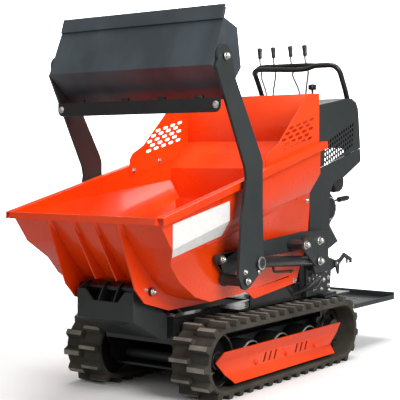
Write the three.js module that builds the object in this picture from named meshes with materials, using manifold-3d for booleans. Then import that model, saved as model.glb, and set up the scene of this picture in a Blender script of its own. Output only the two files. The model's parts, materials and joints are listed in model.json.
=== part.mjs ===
// Self-loading tracked power wheelbarrow (mini dumper). Millimetres, +Z up, front faces -Y.
// Heights are above the ground. Lengths along Y are measured from the middle of the tracks,
// and the finished group is shifted so that its origin is the bottom centre of the whole machine.
import * as THREE from "three";
import { ConvexGeometry } from "three/addons/geometries/ConvexGeometry.js";
import { mergeVertices } from "three/addons/utils/BufferGeometryUtils.js";
import Module from "manifold-3d";

const wasm = await Module();
wasm.setup();

// ---------------------------------------------------------------- driving dimensions
const MACHINE_CENTRE_Y = 110.5; // middle of the machine's length, in the track frame
const GAP = 0.3; // air between pieces that touch
const RUN = 0.6; // radial running clearance of a bore on its pin

const TRACK = { inner: 182, outer: 362, wheelY: 461, axleZ: 154, bandR: 130, bandT: 18, lugH: 24, lugs: 37 };
const ROAD = { y: [-225, 5, 235], z: 123, r: 80.5 };
const WHEEL_X = { from: 214, to: 312 };
const GUARD = { web: 330, lip: 352, t: 4 };

const CHASSIS = { half: 172, t: 12, deckZ: 314, deckT: 8, deckHalf: 262, fenderHalf: 340 };
const TIP = { y: -704, z: 437, r: 16 }; // tipping axis of the skip
const RIM = { y: -900, z: 728, slope: 0.242, rearY: 257 }; // upper edge of the skip's side walls
const SKIP = { half: 360, low: 307, t: 4, fold1: 138, fold2: 221, backY: 112, rearY: 244 };
const RIM_FLANGE = { width: 30, depth: 28, t: 4 };
const RIB = { t: 6, outer: 173, inner: 52 };
const EXT = { top: 1216, y: 236, t: 4, seamY: 174, seamZ: 957, foldZ: 1012 };

const ARM = { y: -431, z: 467, inner: 409, t: 12, pinR: 14, tubeR: 22 }; // loader arm pivot
const BOSS = { y: -338, z: 529, r: 24 }; // lift cylinder's pin on the arm
const SHOVEL = { half: 406, t: 5, pinY: -572, pinZ: 1311, pinR: 12 };
const BEAM = { x: 315, t: 12 };
const EAR = { y: -479, z: 549, r: 20 }; // round ear and pin at the front end of the beam
const LINK = { x: 400, t: 8, pinY: 150, pinZ: 498, pinR: 12 };
const LIFT = { x: 377, r: 22, rodR: 11, barrel: 402 };
const RAM = { y: -150, z: 190, topY: -420, topZ: 356, r: 20, rodR: 11 };

const CONSOLE = { half: 275, t: 12, coverHalf: 270, coverT: 3 };
const LEVER = { y: 690, z: 1160, rodR: 4, knobZ: 1430, knobH: 54 };
const PLATFORM = { y: 690, z: 235, tubeR: 14, half: 290, front: 708, rear: 1133, floorZ: 217, lipZ: 253, t: 5 };
const HOOK = { y: 508, z: 452, x: 290, t: 8 };

// Height of the rim line at a given Y.
const rimZ = (y) => RIM.z + RIM.slope * (y - RIM.y);

// ---------------------------------------------------------------- finishes
function finish(color, roughness, metalness) {
  return () => new THREE.MeshStandardMaterial({ color, roughness, metalness });
}
const ORANGE = finish(0xf04a1a, 0.3, 0.1);
const GREY = finish(0x4a4d4b, 0.5, 0.3);
const STEEL = finish(0x6b7780, 0.45, 0.5);
const ZINC = finish(0xc8c8c4, 0.35, 0.9);
const BLACK = finish(0x1c1c1c, 0.55, 0.1);
const RUBBER = finish(0x464038, 0.9, 0.0);

// ---------------------------------------------------------------- solids
// A closed three.js geometry as a solid.
function solid(geometry) {
  const bare = geometry.index ? geometry.toNonIndexed() : geometry.clone();
  bare.deleteAttribute("normal");
  bare.deleteAttribute("uv");
  const merged = mergeVertices(bare, 1e-4);
  return new wasm.Manifold(
    new wasm.Mesh({
      numProp: 3,
      vertProperties: merged.attributes.position.array,
      triVerts: new Uint32Array(merged.index.array),
    }),
  );
}

// Joins a list of solids into one.
const join = (...parts) => parts.flat().reduce((sum, part) => sum.add(part));

// Cuts every later solid from the first.
const cut = (body, ...tools) => tools.flat().reduce((left, tool) => left.subtract(tool), body);

// Turns a solid into a named mesh.
function mesh(name, body, material) {
  const data = body.getMesh();
  const stride = data.numProp;
  const points = new Float32Array(data.numVert * 3);
  for (let i = 0; i < data.numVert; i++) {
    points.set(data.vertProperties.subarray(i * stride, i * stride + 3), i * 3);
  }
  const geometry = new THREE.BufferGeometry();
  geometry.setAttribute("position", new THREE.BufferAttribute(points, 3));
  geometry.setIndex(new THREE.BufferAttribute(data.triVerts, 1));
  geometry.computeVertexNormals();
  const result = new THREE.Mesh(geometry, material());
  result.name = name;
  return result;
}

function shapeOf(outline, holes = []) {
  const shape = new THREE.Shape(outline.map(([a, b]) => new THREE.Vector2(a, b)));
  shape.holes = holes.map((hole) => new THREE.Path(hole.map(([a, b]) => new THREE.Vector2(a, b))));
  return shape;
}

function extrude(outline, depth, basis, offset, holes) {
  const shape = shapeOf(outline, holes);
  const geometry = new THREE.ExtrudeGeometry(shape, { depth, bevelEnabled: false, curveSegments: 12 });
  geometry.applyMatrix4(new THREE.Matrix4().makeBasis(...basis));
  geometry.translate(offset.x, offset.y, offset.z);
  return solid(geometry);
}

const UNIT_X = new THREE.Vector3(1, 0, 0);
const UNIT_Y = new THREE.Vector3(0, 1, 0);
const UNIT_Z = new THREE.Vector3(0, 0, 1);

// A side-view plate: outline in (y, z), thickness from x0 to x1.
function sidePlate(outline, x0, x1, holes = []) {
  const [low, high] = [Math.min(x0, x1), Math.max(x0, x1)];
  return extrude(outline, high - low, [UNIT_Y, UNIT_Z, UNIT_X], new THREE.Vector3(low, 0, 0), holes);
}

// A front-view plate: outline in (x, z), thickness from y0 to y1.
function frontPlate(outline, y0, y1, holes = []) {
  const back = Math.max(y0, y1);
  const basis = [UNIT_X, UNIT_Z, UNIT_Y.clone().negate()];
  return extrude(outline, Math.abs(y1 - y0), basis, new THREE.Vector3(0, back, 0), holes);
}

function box(x0, x1, y0, y1, z0, z1) {
  const geometry = new THREE.BoxGeometry(Math.abs(x1 - x0), Math.abs(y1 - y0), Math.abs(z1 - z0));
  geometry.translate((x0 + x1) / 2, (y0 + y1) / 2, (z0 + z1) / 2);
  return solid(geometry);
}

// A round bar between two points.
function bar(from, to, radius, sides = 16, endRadius = radius) {
  const start = new THREE.Vector3(...from);
  const end = new THREE.Vector3(...to);
  const geometry = new THREE.CylinderGeometry(endRadius, radius, start.distanceTo(end), sides);
  const turn = new THREE.Quaternion().setFromUnitVectors(UNIT_Y, end.clone().sub(start).normalize());
  geometry.applyQuaternion(turn);
  const middle = start.add(end).multiplyScalar(0.5);
  geometry.translate(middle.x, middle.y, middle.z);
  return solid(geometry);
}

// A round bar along X at (y, z).
const axle = (y, z, radius, x0, x1, sides = 16) => bar([x0, y, z], [x1, y, z], radius, sides);

// The convex solid around a list of points.
const hull = (points) => solid(new ConvexGeometry(points.map((p) => new THREE.Vector3(...p))));

// A flat sheet: its outline in space, thickened by a vector.
function sheet(corners, thickness) {
  const back = corners.map((p) => p.map((value, i) => value + thickness[i]));
  return hull([...corners, ...back]);
}

// A ring turned about an axle along X, from a profile of (radius, x) points that closes on itself.
function turned(profile, y, z, sides = 24) {
  const closed = [...profile, profile[0]].map(([r, x]) => new THREE.Vector2(r, x));
  const geometry = new THREE.LatheGeometry(closed, sides);
  geometry.applyMatrix4(new THREE.Matrix4().makeBasis(UNIT_Y, UNIT_X, UNIT_Z.clone().negate()));
  geometry.translate(0, y, z);
  return solid(geometry);
}

// A round tube swept along a smooth path.
function swept(points, radius, steps, sides = 10, tension = 0.5) {
  const path = new THREE.CatmullRomCurve3(points.map((p) => new THREE.Vector3(...p)), false, "catmullrom", tension);
  const section = new THREE.Shape();
  for (let i = 0; i < sides; i++) {
    const turn = (2 * Math.PI * i) / sides;
    const spot = [radius * Math.cos(turn), radius * Math.sin(turn)];
    if (i === 0) section.moveTo(...spot);
    else section.lineTo(...spot);
  }
  section.closePath();
  return solid(new THREE.ExtrudeGeometry(section, { steps, extrudePath: path, bevelEnabled: false }));
}

// Points on an arc in the side view, from one angle to another in degrees.
function arc(y, z, radius, from, to, count) {
  return Array.from({ length: count + 1 }, (_, i) => {
    const turn = THREE.MathUtils.degToRad(from + ((to - from) * i) / count);
    return [y + radius * Math.cos(turn), z + radius * Math.sin(turn)];
  });
}

// The mirror image of a solid on the other side of the machine.
const mirrored = (body) => body.mirror([1, 0, 0]);

const root = new THREE.Group();
const pieces = [];
const add = (name, body, material) => pieces.push(mesh(name, body, material));

// Adds a left piece and its mirror image.
function addPair(name, body, material) {
  add("left_" + name, body, material);
  add("right_" + name, mirrored(body), material);
}

// ---------------------------------------------------------------- tracks
const stadium = (radius) => [
  ...arc(TRACK.wheelY, TRACK.axleZ, radius, -90, 90, 12),
  ...arc(-TRACK.wheelY, TRACK.axleZ, radius, 90, 270, 12),
];

// A point on the belt's outer face, with its tangent and normal, a distance along it from the front top.
function beltPoint(distance) {
  const straight = 2 * TRACK.wheelY;
  const turn = Math.PI * TRACK.bandR;
  const length = 2 * (straight + turn);
  let s = ((distance % length) + length) % length;
  if (s < straight) return { y: -TRACK.wheelY + s, z: TRACK.axleZ + TRACK.bandR, angle: 0 };
  s -= straight;
  if (s < turn) return arcPoint(TRACK.wheelY, Math.PI / 2 - s / TRACK.bandR);
  s -= turn;
  if (s < straight) return { y: TRACK.wheelY - s, z: TRACK.axleZ - TRACK.bandR, angle: Math.PI };
  s -= straight;
  return arcPoint(-TRACK.wheelY, -Math.PI / 2 - s / TRACK.bandR);
}

function arcPoint(centreY, bearing) {
  return {
    y: centreY + TRACK.bandR * Math.cos(bearing),
    z: TRACK.axleZ + TRACK.bandR * Math.sin(bearing),
    angle: bearing - Math.PI / 2,
  };
}

// One tapered tread block, standing out of the belt.
function lug(distance, x0, x1, baseLength, topLength) {
  const spot = beltPoint(distance);
  const bury = 3;
  const profile = [
    [-baseLength / 2, -bury],
    [baseLength / 2, -bury],
    [topLength / 2, TRACK.lugH],
    [-topLength / 2, TRACK.lugH],
  ].map(([along, out]) => [
    spot.y + along * Math.cos(spot.angle) - out * Math.sin(spot.angle),
    spot.z + along * Math.sin(spot.angle) + out * Math.cos(spot.angle),
  ]);
  return sidePlate(profile, x0, x1);
}

function belt() {
  const band = sidePlate(stadium(TRACK.bandR), TRACK.inner, TRACK.outer, [stadium(TRACK.bandR - TRACK.bandT)]);
  const length = 4 * TRACK.wheelY + 2 * Math.PI * TRACK.bandR;
  const pitch = length / TRACK.lugs;
  const blocks = [];
  for (let i = 0; i < TRACK.lugs; i++) {
    blocks.push(lug(i * pitch, 268, TRACK.outer, 36, 22));
    blocks.push(lug(i * pitch + 24, TRACK.inner, 280, 30, 17));
  }
  return join(band, blocks);
}
addPair("track_belt", belt(), RUBBER);

// A plain wheel with a rim, a web and a hub.
function wheel(y, z, radius, bore) {
  const { from, to } = WHEEL_X;
  const profile = [
    [bore, from],
    [radius, from],
    [radius, to],
    [radius - 14, to],
    [radius - 14, 276],
    [bore + 20, 276],
    [bore + 20, to],
    [bore, to],
  ];
  return turned(profile, y, z, 20);
}

function sprocket(bore) {
  const teeth = 12;
  const outline = [];
  for (let i = 0; i < teeth; i++) {
    const base = (360 / teeth) * i;
    outline.push(...arc(TRACK.wheelY, TRACK.axleZ, 109.5, base - 7, base + 7, 1));
    outline.push(...arc(TRACK.wheelY, TRACK.axleZ, 92, base + 11, base + 19, 1));
  }
  const windows = [];
  for (let i = 0; i < 4; i++) {
    const base = 90 * i + 45;
    windows.push([
      ...arc(TRACK.wheelY, TRACK.axleZ, 78, base - 18, base + 18, 3),
      ...arc(TRACK.wheelY, TRACK.axleZ, 58, base + 18, base - 18, 3),
    ]);
  }
  const rings = sidePlate(outline, 252, 276, windows);
  const hub = axle(TRACK.wheelY, TRACK.axleZ, 46, WHEEL_X.from, WHEEL_X.to, 24);
  return cut(join(hub, rings), axle(TRACK.wheelY, TRACK.axleZ, bore, 200, 330, 24));
}
const AXLE = { road: 15, idler: 18, drive: 25 };
ROAD.y.forEach((y, i) => addPair("road_wheel_" + (i + 1), wheel(y, ROAD.z, ROAD.r, AXLE.road + RUN), BLACK));
addPair("idler_wheel", wheel(-TRACK.wheelY, TRACK.axleZ, 109.5, AXLE.idler + RUN), BLACK);
addPair("drive_sprocket", sprocket(AXLE.drive + RUN), BLACK);

function trackFrame() {
  const inner = sidePlate([
    [-492, 120], [-430, 96], [430, 96], [498, 120], [498, 186], [430, 200], [-430, 200],
    [-492, 186],
  ], 196, 208);
  const outer = sidePlate([[-300, 100], [300, 100], [300, 146], [-300, 146]], 316, 322);
  const stubs = ROAD.y.map((y) => axle(y, ROAD.z, AXLE.road, 200, 318));
  const idler = axle(-TRACK.wheelY, TRACK.axleZ, AXLE.idler, 200, 320);
  const drive = axle(TRACK.wheelY, TRACK.axleZ, AXLE.drive, 200, 320);
  const mounts = [-300, 250].map((y) => box(CHASSIS.half + GAP, 200, y, y + 60, 120, 176));
  return join(inner, outer, stubs, idler, drive, mounts);
}
addPair("track_frame", trackFrame(), GREY);

// Bent orange guard with a recessed web and two lips that flare out.
function trackGuard() {
  const { web, lip, t } = GUARD;
  const outer = [[lip, 190], [web, 148], [web, 98], [lip, 60]];
  const inner = [[lip - t, 57.5], [web - t, 96.6], [web - t, 149.4], [lip - t, 192]];
  const outline = [
    [-474, 200], [449, 200], [449, 190], [457, 148], [393, 98], [397, 50], [-402, 50], [-402, 62],
    [-503, 153], [-474, 190],
  ];
  const bent = frontPlate([...outer, ...inner], -510, 470).intersect(sidePlate(outline, 320, 360));
  const slots = [-168, 82].flatMap((start) => [0, 40, 80].map((step) => guardSlot(start + step)));
  return cut(bent, slots);
}

function guardSlot(y) {
  return sidePlate([[y, 105], [y + 13, 105], [y + 31, 142], [y + 18, 142]], GUARD.web - 8, GUARD.web + 4);
}
addPair("track_guard", trackGuard(), ORANGE);

// ---------------------------------------------------------------- chassis
function chassisFrame() {
  const { half, t, deckZ, deckT, deckHalf, fenderHalf } = CHASSIS;
  const tail = [[684, 206], [700, 220], [700, 250], [684, 262]];
  const sideOutline = [
    [-560, deckZ], [-560, 215], [-500, 100], [480, 100], [545, 200], ...tail, [545, deckZ],
  ];
  const sides = [half - t, -half].map((x) => sidePlate(sideOutline, x, x + t));
  const nose = box(-half, half, -560, -548, 215, deckZ + deckT);
  const pan = box(-half, half, -498, 470, 100, 108);
  const ramPin = axle(RAM.y, RAM.z, 13, -half + 2, half - 2);
  const hingeTube = axle(PLATFORM.y, PLATFORM.z, PLATFORM.tubeR, -214, 214);
  const top = deckZ + deckT;
  const rails = [1, -1].map((s) => box(s * 120, s * deckHalf, -240, 40, deckZ, top));
  const deck = box(-deckHalf, deckHalf, 40, 560, deckZ, top);
  const fender = box(-fenderHalf, fenderHalf, 330, 560, deckZ, top);
  const skirts = [1, -1].map((s) => box(s * (deckHalf - 6), s * deckHalf, -160, 240, deckZ, 380));
  const noseTop = box(-half, half, -560, -480, deckZ, top);
  const sideTops = [1, -1].map((s) => box(s * 120, s * half, -560, -240, deckZ, top));
  return join(sides, nose, pan, ramPin, hingeTube, rails, deck, fender, skirts, noseTop, sideTops);
}
add("chassis_frame", chassisFrame(), GREY);

function pivotBracket() {
  const noseY = -560 - GAP;
  const face = frontPlate([
    [-140, 340], [-126, 325], [126, 325], [140, 340], [140, 435], [100, 435], [62, 393], [-62, 393],
    [-100, 435], [-140, 435],
  ], -765, -755);
  const ear = arc(TIP.y, TIP.z, 26, 150, 20, 4);
  const cheekOutline = [
    [-765, 330], [-765, 435], ...ear, [-650, 380], [noseY, 330], [noseY, 237], [-596, 237],
  ];
  const cheeks = [130, -140].map((x) => sidePlate(cheekOutline, x, x + 10));
  const lugOutline = [[-757, 345], [-757, 400], ...ear, [-690, 380], [-700, 330]];
  const lugs = [35, -41].map((x) => sidePlate(lugOutline, x, x + 6));
  const floor = sheet([
    [-140, -765, 325], [140, -765, 325], [140, -596, 237], [-140, -596, 237],
  ], [0, 4, 8]);
  const tail = box(-140, 140, -600, noseY, 237, 245);
  const back = box(-131, 131, -676, -670, 285, 425);
  const bore = axle(TIP.y, TIP.z, TIP.r + GAP, -150, 150, 16);
  return cut(join(face, cheeks, lugs, floor, tail, back), bore);
}
add("front_pivot_bracket", pivotBracket(), GREY);
add("tip_pivot_shaft", axle(TIP.y, TIP.z, TIP.r, -186, 186, 16), ZINC);

const crossHalf = CHASSIS.half - CHASSIS.t - GAP;
add("front_cross_tube", axle(-430, 132, 21, -crossHalf, crossHalf, 20), GREY);

// ---------------------------------------------------------------- loader supports
function armBeam() {
  const outline = [
    [380, 430], [380, 610], [170, 620], [-180, 598], [-350, 573],
    ...arc(EAR.y, EAR.z, EAR.r, 90, 240, 6), ...arc(ARM.y, ARM.z, 27, 120, 270, 6), [-395, 446],
    [-350, 500], [-180, 535], [200, 540], [262, 430],
  ];
  const plate = sidePlate(outline, BEAM.x, BEAM.x + BEAM.t);
  const tube = axle(ARM.y, ARM.z, ARM.tubeR, BEAM.x, ARM.inner - RUN, 20);
  const pin = axle(ARM.y, ARM.z, ARM.pinR, BEAM.x, ARM.inner + ARM.t + 8);
  const spacer = box(289 + GAP, BEAM.x + 1, 265, 370, 440, 600);
  const earPin = axle(EAR.y, EAR.z, EAR.r - 1, BEAM.x + 1, BEAM.x + 31, 20);
  return join(plate, tube, pin, spacer, earPin);
}
addPair("arm_beam", armBeam(), GREY);

function linkPlate() {
  const outline = [[14, 560], [32, 600], [176, 616], [206, 590], [200, 486], [176, 464], [130, 474]];
  const plate = sidePlate(outline, LINK.x, LINK.x + LINK.t);
  const from = BEAM.x + BEAM.t + GAP;
  const spacers = [[42, 573], [156, 584]].map(([y, z]) => axle(y, z, 21, from, LINK.x + 1));
  const pin = axle(LINK.pinY, LINK.pinZ, LINK.pinR, 352, LINK.x + LINK.t + 6);
  return join(plate, spacers, pin);
}
addPair("link_plate", linkPlate(), GREY);

function rearBracket() {
  const foot = CHASSIS.deckZ + CHASSIS.deckT + GAP;
  const outline = [[250, foot], [462, foot], [478, 459], [440, 500], [404, 612], [262, 612], [250, 480]];
  const plate = sidePlate(outline, CONSOLE.half + GAP, 289);
  const base = box(CONSOLE.half + GAP, 325, 340, 460, foot, foot + 8);
  const pin = axle(HOOK.y, HOOK.z, 7, 280, HOOK.x + HOOK.t + 5);
  const ear = sidePlate([
    [440, 430], [470, 420], [520, 436], [524, 464], [470, 480],
  ], CONSOLE.half + GAP, 289);
  return join(plate, base, ear, pin);
}
addPair("rear_bracket", rearBracket(), GREY);

// ---------------------------------------------------------------- skip
const FRONT = { top: [-900, 705], low: [-697, 479] };

// Y of the front wall at a given height.
function frontY(z) {
  const [y0, z0] = FRONT.top;
  const [y1, z1] = FRONT.low;
  return y0 + ((z - z0) * (y1 - y0)) / (z1 - z0);
}

// The (y, z) corner where the front wall meets the line that runs a given depth below the rim.
function frontCorner(depth) {
  const [y0, z0] = FRONT.top;
  const run = (FRONT.low[0] - y0) / (FRONT.low[1] - z0);
  const z = (RIM.z - depth + RIM.slope * (y0 - run * z0 - RIM.y)) / (1 - RIM.slope * run);
  return [frontY(z), z];
}

// The tub's volume between the rim and the floor, grown inwards by an inset.
function tubVolume(inset, above) {
  const back = SKIP.backY - inset;
  const wide = SKIP.half - inset;
  const low = SKIP.low - inset;
  const slip = inset * 1.35;
  const corner1 = frontCorner(SKIP.fold1);
  const corner2 = frontCorner(SKIP.fold2);
  const both = (x, y, z) => [[x, y, z], [-x, y, z]];
  const top = [
    ...both(wide, FRONT.top[0] + slip - above * 0.9, rimZ(FRONT.top[0]) + above),
    ...both(wide, back, rimZ(back) + above),
  ];
  const fold1 = [...both(wide, corner1[0] + slip, corner1[1]), ...both(wide, back, rimZ(back) - SKIP.fold1)];
  const fold2 = [...both(low, corner2[0] + slip, corner2[1]), ...both(low, back, rimZ(back) - SKIP.fold2)];
  const floor = [
    ...both(low, FRONT.low[0] + slip, FRONT.low[1] + inset * 0.3),
    ...both(low, -604 + inset * 0.7, 416 + inset * 0.8),
    ...both(low, -507, 387 + inset),
    ...both(low, -301, 396 + inset),
    ...both(low, back, 440 + inset),
  ];
  return join(hull([...top, ...fold1]), hull([...fold1, ...fold2]), hull([...fold2, ...floor]));
}

function skipTub() {
  const { half, low, t, fold1, fold2, backY, rearY } = SKIP;
  const shell = cut(tubVolume(0, 0), tubVolume(t, 60));
  const lowTop = (y) => rimZ(y) - fold2 + 2;
  const upper = [
    [backY - 8, rimZ(backY - 8)], [rearY, rimZ(rearY)], [rearY, rimZ(rearY) - fold1],
    [backY - 8, rimZ(backY - 8) - fold1],
  ];
  const lower = [
    [-258, 402], [-201, 366], [130, 400], [162, 466], [226, 578], [242, 708],
    [rearY, lowTop(rearY)], [backY - 40, lowTop(backY - 40)], [backY - 40, 430],
  ];
  const backSlope = sheet(
    [
      [-half + 1, backY - t, 888], [half - 1, backY - t, 888],
      [half - 1, EXT.seamY - GAP, EXT.seamZ - 0.4], [-half + 1, EXT.seamY - GAP, EXT.seamZ - 0.4],
    ],
    [0, 2.9, -2.9],
  );
  const opened = cut(shell, box(-half + t, half - t, backY - t - 1, backY + 10, 890, 1100));
  const sides = [1, -1].flatMap((s) => [
    sidePlate(upper, s * (half - t), s * half),
    sheet(
      [
        [s * half, backY - 8, rimZ(backY - 8) - fold1],
        [s * half, rearY, rimZ(rearY) - fold1],
        [s * low, rearY, rimZ(rearY) - fold2],
        [s * low, backY - 8, rimZ(backY - 8) - fold2],
      ],
      [-s * 3.4, 0, 2.1],
    ),
    sidePlate(lower, s * (low - t), s * low),
  ]);
  const flanges = [1, -1].flatMap((s) => rimFlange(s));
  const frontLip = sheet([
    [-half, -908, 728], [half, -908, 728], [half, -912, 703], [-half, -912, 703],
  ], [0, 9, 0]);
  const ribs = [RIB.outer, RIB.inner, -RIB.inner, -RIB.outer].map((x) => frontRib(x));
  const ramLugs = [24, -30].map((x) => sidePlate([
    [-470, 392], [-440, 340], [-400, 340], [-370, 396],
  ], x, x + 6));
  const body = join(opened, backSlope, sides, flanges, frontLip, ribs, ramLugs);
  return cut(body, axle(TIP.y, TIP.z, TIP.r + RUN, -200, 200, 16));
}

function rimFlange(s) {
  const { width, depth, t } = RIM_FLANGE;
  const outer = SKIP.half + width;
  const strip = (down) => [
    [RIM.y, rimZ(RIM.y)],
    [RIM.rearY, rimZ(RIM.rearY)],
    [RIM.rearY, rimZ(RIM.rearY) - down],
    [RIM.y, rimZ(RIM.y) - down],
  ];
  return [sidePlate(strip(t), s * (SKIP.half - 4), s * outer), sidePlate(strip(depth), s * (outer - t), s * outer)];
}

function frontRib(x) {
  const long = [
    [-895, 702], [-797, 453], [-742, 396], [-598, 354], [-320, 356], [-290, 394], [-507, 388],
    [-604, 418], [-694, 480],
  ];
  const short = [[-895, 702], [-757, 474], [-694, 480]];
  const outline = Math.abs(x) === RIB.outer ? long : short;
  return sidePlate(outline, x - RIB.t / 2, x + RIB.t / 2);
}
add("skip_tub", skipTub(), ORANGE);

// The bolt-on back panel with perforated side cheeks.
function skipExtension() {
  const outer = SKIP.half - SKIP.t - GAP;
  const { top, y, t, seamY, seamZ, foldZ } = EXT;
  const panel = box(-outer, outer, y, y + t, foldZ - 3, top);
  const slope = sheet([
    [-outer, seamY, seamZ], [outer, seamY, seamZ], [outer, y + 1, foldZ], [-outer, y + 1, foldZ],
  ], [0, 3, -3]);
  const below = (at) => rimZ(at) - 45;
  const cheek = [
    [-190, below(-190)], [132, below(132)], [seamY, seamZ + 1.5], [y + t, foldZ], [y + t, top],
    [140, 1206], [-95, 992], [-172, 955], [-190, 930],
  ];
  const cheeks = [1, -1].map((s) => cut(sidePlate(cheek, s * (outer - 3.7), s * outer), perforations()));
  return join(panel, slope, cheeks);
}

// Five staggered rows of slots, parallel to the rim.
function perforations() {
  const rows = [[-58, 5, 36], [-30, 4, 56], [-51, 5, 76], [-22, 4, 96], [11, 4, 113]];
  return join(
    rows.flatMap(([start, count, height]) =>
      Array.from({ length: count }, (_, i) => slotCutter(start + i * 54.5, rimZ(start + i * 54.5) + height)),
    ),
  );
}

function slotCutter(y, z) {
  const lean = Math.atan(RIM.slope);
  const outline = [...arc(14.5, 0, 6, -90, 90, 2), ...arc(-14.5, 0, 6, 90, 270, 2)].map(([a, b]) => [
    y + a * Math.cos(lean) - b * Math.sin(lean),
    z + a * Math.sin(lean) + b * Math.cos(lean),
  ]);
  return sidePlate(outline, -SKIP.half, SKIP.half);
}
add("skip_extension", skipExtension(), ORANGE);

// ---------------------------------------------------------------- loader
function loaderArm() {
  const tip = arc(SHOVEL.pinY, SHOVEL.pinZ, 45, 20, 200, 8);
  const outline = [
    ...tip,
    [-628, 1272],
    [-434, 900],
    [-426, 861],
    [-459, 702],
    [-480, 484],
    ...arc(ARM.y, ARM.z, 34, 190, 270, 4),
    [-396, 446],
    ...arc(BOSS.y, BOSS.z, 36, -60, 20, 4),
    [-313, 734],
    [-314, 921],
    [-327, 950],
    [-501, 1231],
  ];
  const plate = sidePlate(outline, ARM.inner, ARM.inner + ARM.t);
  const ring = axle(BOSS.y, BOSS.z, BOSS.r, ARM.inner + 2, ARM.inner + ARM.t + 12, 20);
  const pivotHole = axle(ARM.y, ARM.z, ARM.pinR + RUN, 400, 430, 20);
  const tipHole = axle(SHOVEL.pinY, SHOVEL.pinZ, SHOVEL.pinR + GAP, 400, 430, 20);
  return cut(join(plate, ring), pivotHole, tipHole);
}
addPair("arm", loaderArm(), GREY);

function crossbar() {
  const half = ARM.inner - GAP;
  const round = 26;
  const lowCorner = arc(half - round, 1106 + round, round, -90, 0, 6);
  const outline = [[0, 1106], ...lowCorner, [half, 1160], [0, 1160]];
  const rightHalf = frontPlate(outline, -586, -580);
  const web = join(rightHalf, mirrored(rightHalf));
  const top = box(-half, half, -586, -546, 1154, 1160);
  const tabs = [-296, -62, 120, 300].map((x) => box(x - 18, x + 18, -572, -562, 1156, 1172));
  return join(web, top, tabs);
}
add("arm_crossbar", crossbar(), GREY);

function shovel() {
  const { half, t, pinY, pinZ, pinR } = SHOVEL;
  const floor = sheet([
    [-half, -639, 1276], [half, -639, 1276], [half, -563, 1449], [-half, -563, 1449],
  ], [0, 4.6, 2]);
  const nose = sheet([
    [-half, -563, 1449], [half, -563, 1449], [half, -548, 1495], [-half, -548, 1495],
  ], [0, 5, 0]);
  const wall = sheet([
    [-half, -639, 1276], [half, -639, 1276], [half, -509, 1162], [-half, -509, 1162],
  ], [0, 3.3, 3.8]);
  const side = [
    [-639, 1276], [-530, 1181], [-484, 1233], [-445, 1278], [-471, 1426], [-558, 1456],
    [-563, 1449],
  ];
  const ends = [half - t, -half].map((x) => sidePlate(side, x, x + t));
  const pins = [1, -1].map((s) => axle(pinY, pinZ, pinR, s * (half - 2), s * (ARM.inner + ARM.t + 6)));
  return join(floor, nose, wall, ends, pins);
}
add("shovel", shovel(), STEEL);

// The bolted wear strip stands on the outer face of the lip.
const strip = [[-1, -563.3, 1449.1], [1, -563.3, 1449.1], [1, -545.3, 1505.1], [-1, -545.3, 1505.1]];
const edge = sheet(strip.map(([side, y, z]) => [side * SHOVEL.half, y, z]), [0, -6.7, 2.1]);
add("cutting_edge", edge, STEEL);

// ---------------------------------------------------------------- cylinders
// A hydraulic barrel with an eye at its foot, and its rod, laid out along the line between two pins.
function cylinderPair({ x, foot, head, r, rodR, barrel, footPin, halfEye }) {
  const start = new THREE.Vector3(x, ...foot);
  const end = new THREE.Vector3(x, ...head);
  const along = end.clone().sub(start).normalize();
  const at = (s) => start.clone().addScaledVector(along, s).toArray();
  const reach = start.distanceTo(end);
  const chamber = bar(at(56), at(barrel - 16), r - 5, 10);
  const gland = bar(at(40), at(barrel + 10), rodR + 1.5, 10);
  const eye = axle(...foot, r, x - halfEye, x + halfEye, 14);
  const hollow = cut(join(bar(at(16), at(barrel), r, 14), eye), chamber, gland);
  const tube = cut(hollow, axle(...foot, footPin + RUN, x - 60, x + 60, 16));
  const piston = bar(at(70), at(86), r - 7, 10);
  const headEye = axle(...head, r - 2, x - halfEye + 4, x + halfEye - 4, 12);
  const rod = cut(join(bar(at(72), at(reach - 14), rodR, 12), piston, headEye), axle(...head, 11, x - 60, x + 60, 12));
  return { tube, rod };
}

const lift = cylinderPair({
  x: LIFT.x,
  foot: [LINK.pinY, LINK.pinZ],
  head: [BOSS.y, BOSS.z],
  r: LIFT.r,
  rodR: LIFT.rodR,
  barrel: LIFT.barrel,
  footPin: LINK.pinR,
  halfEye: 17,
});
addPair("lift_barrel", lift.tube, BLACK);
addPair("lift_rod", lift.rod, ZINC);

const ram = cylinderPair({
  x: 0,
  foot: [RAM.y, RAM.z],
  head: [RAM.topY, RAM.topZ],
  r: RAM.r,
  rodR: RAM.rodR,
  barrel: 250,
  footPin: 13,
  halfEye: 18,
});
add("tip_ram_barrel", ram.tube, BLACK);
add("tip_ram_rod", ram.rod, ZINC);

// ---------------------------------------------------------------- console
function consoleFrame() {
  const foot = CHASSIS.deckZ + CHASSIS.deckT + GAP;
  const outline = [
    [302, foot], [400, foot], [410, 498], [564, 549], [486, 625], [474, 693], [490, 786],
    [529, 828], [618, 845], [786, 920], [780, 979], [372, 882], [302, 777],
  ];
  const plate = sidePlate(outline, CONSOLE.half - CONSOLE.t, CONSOLE.half);
  const tie = sidePlate([[305, 760], [317, 760], [317, 772], [305, 772]], 0.2, CONSOLE.half - 6);
  return join(plate, tie);
}
addPair("console_frame", consoleFrame(), GREY);

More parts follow.
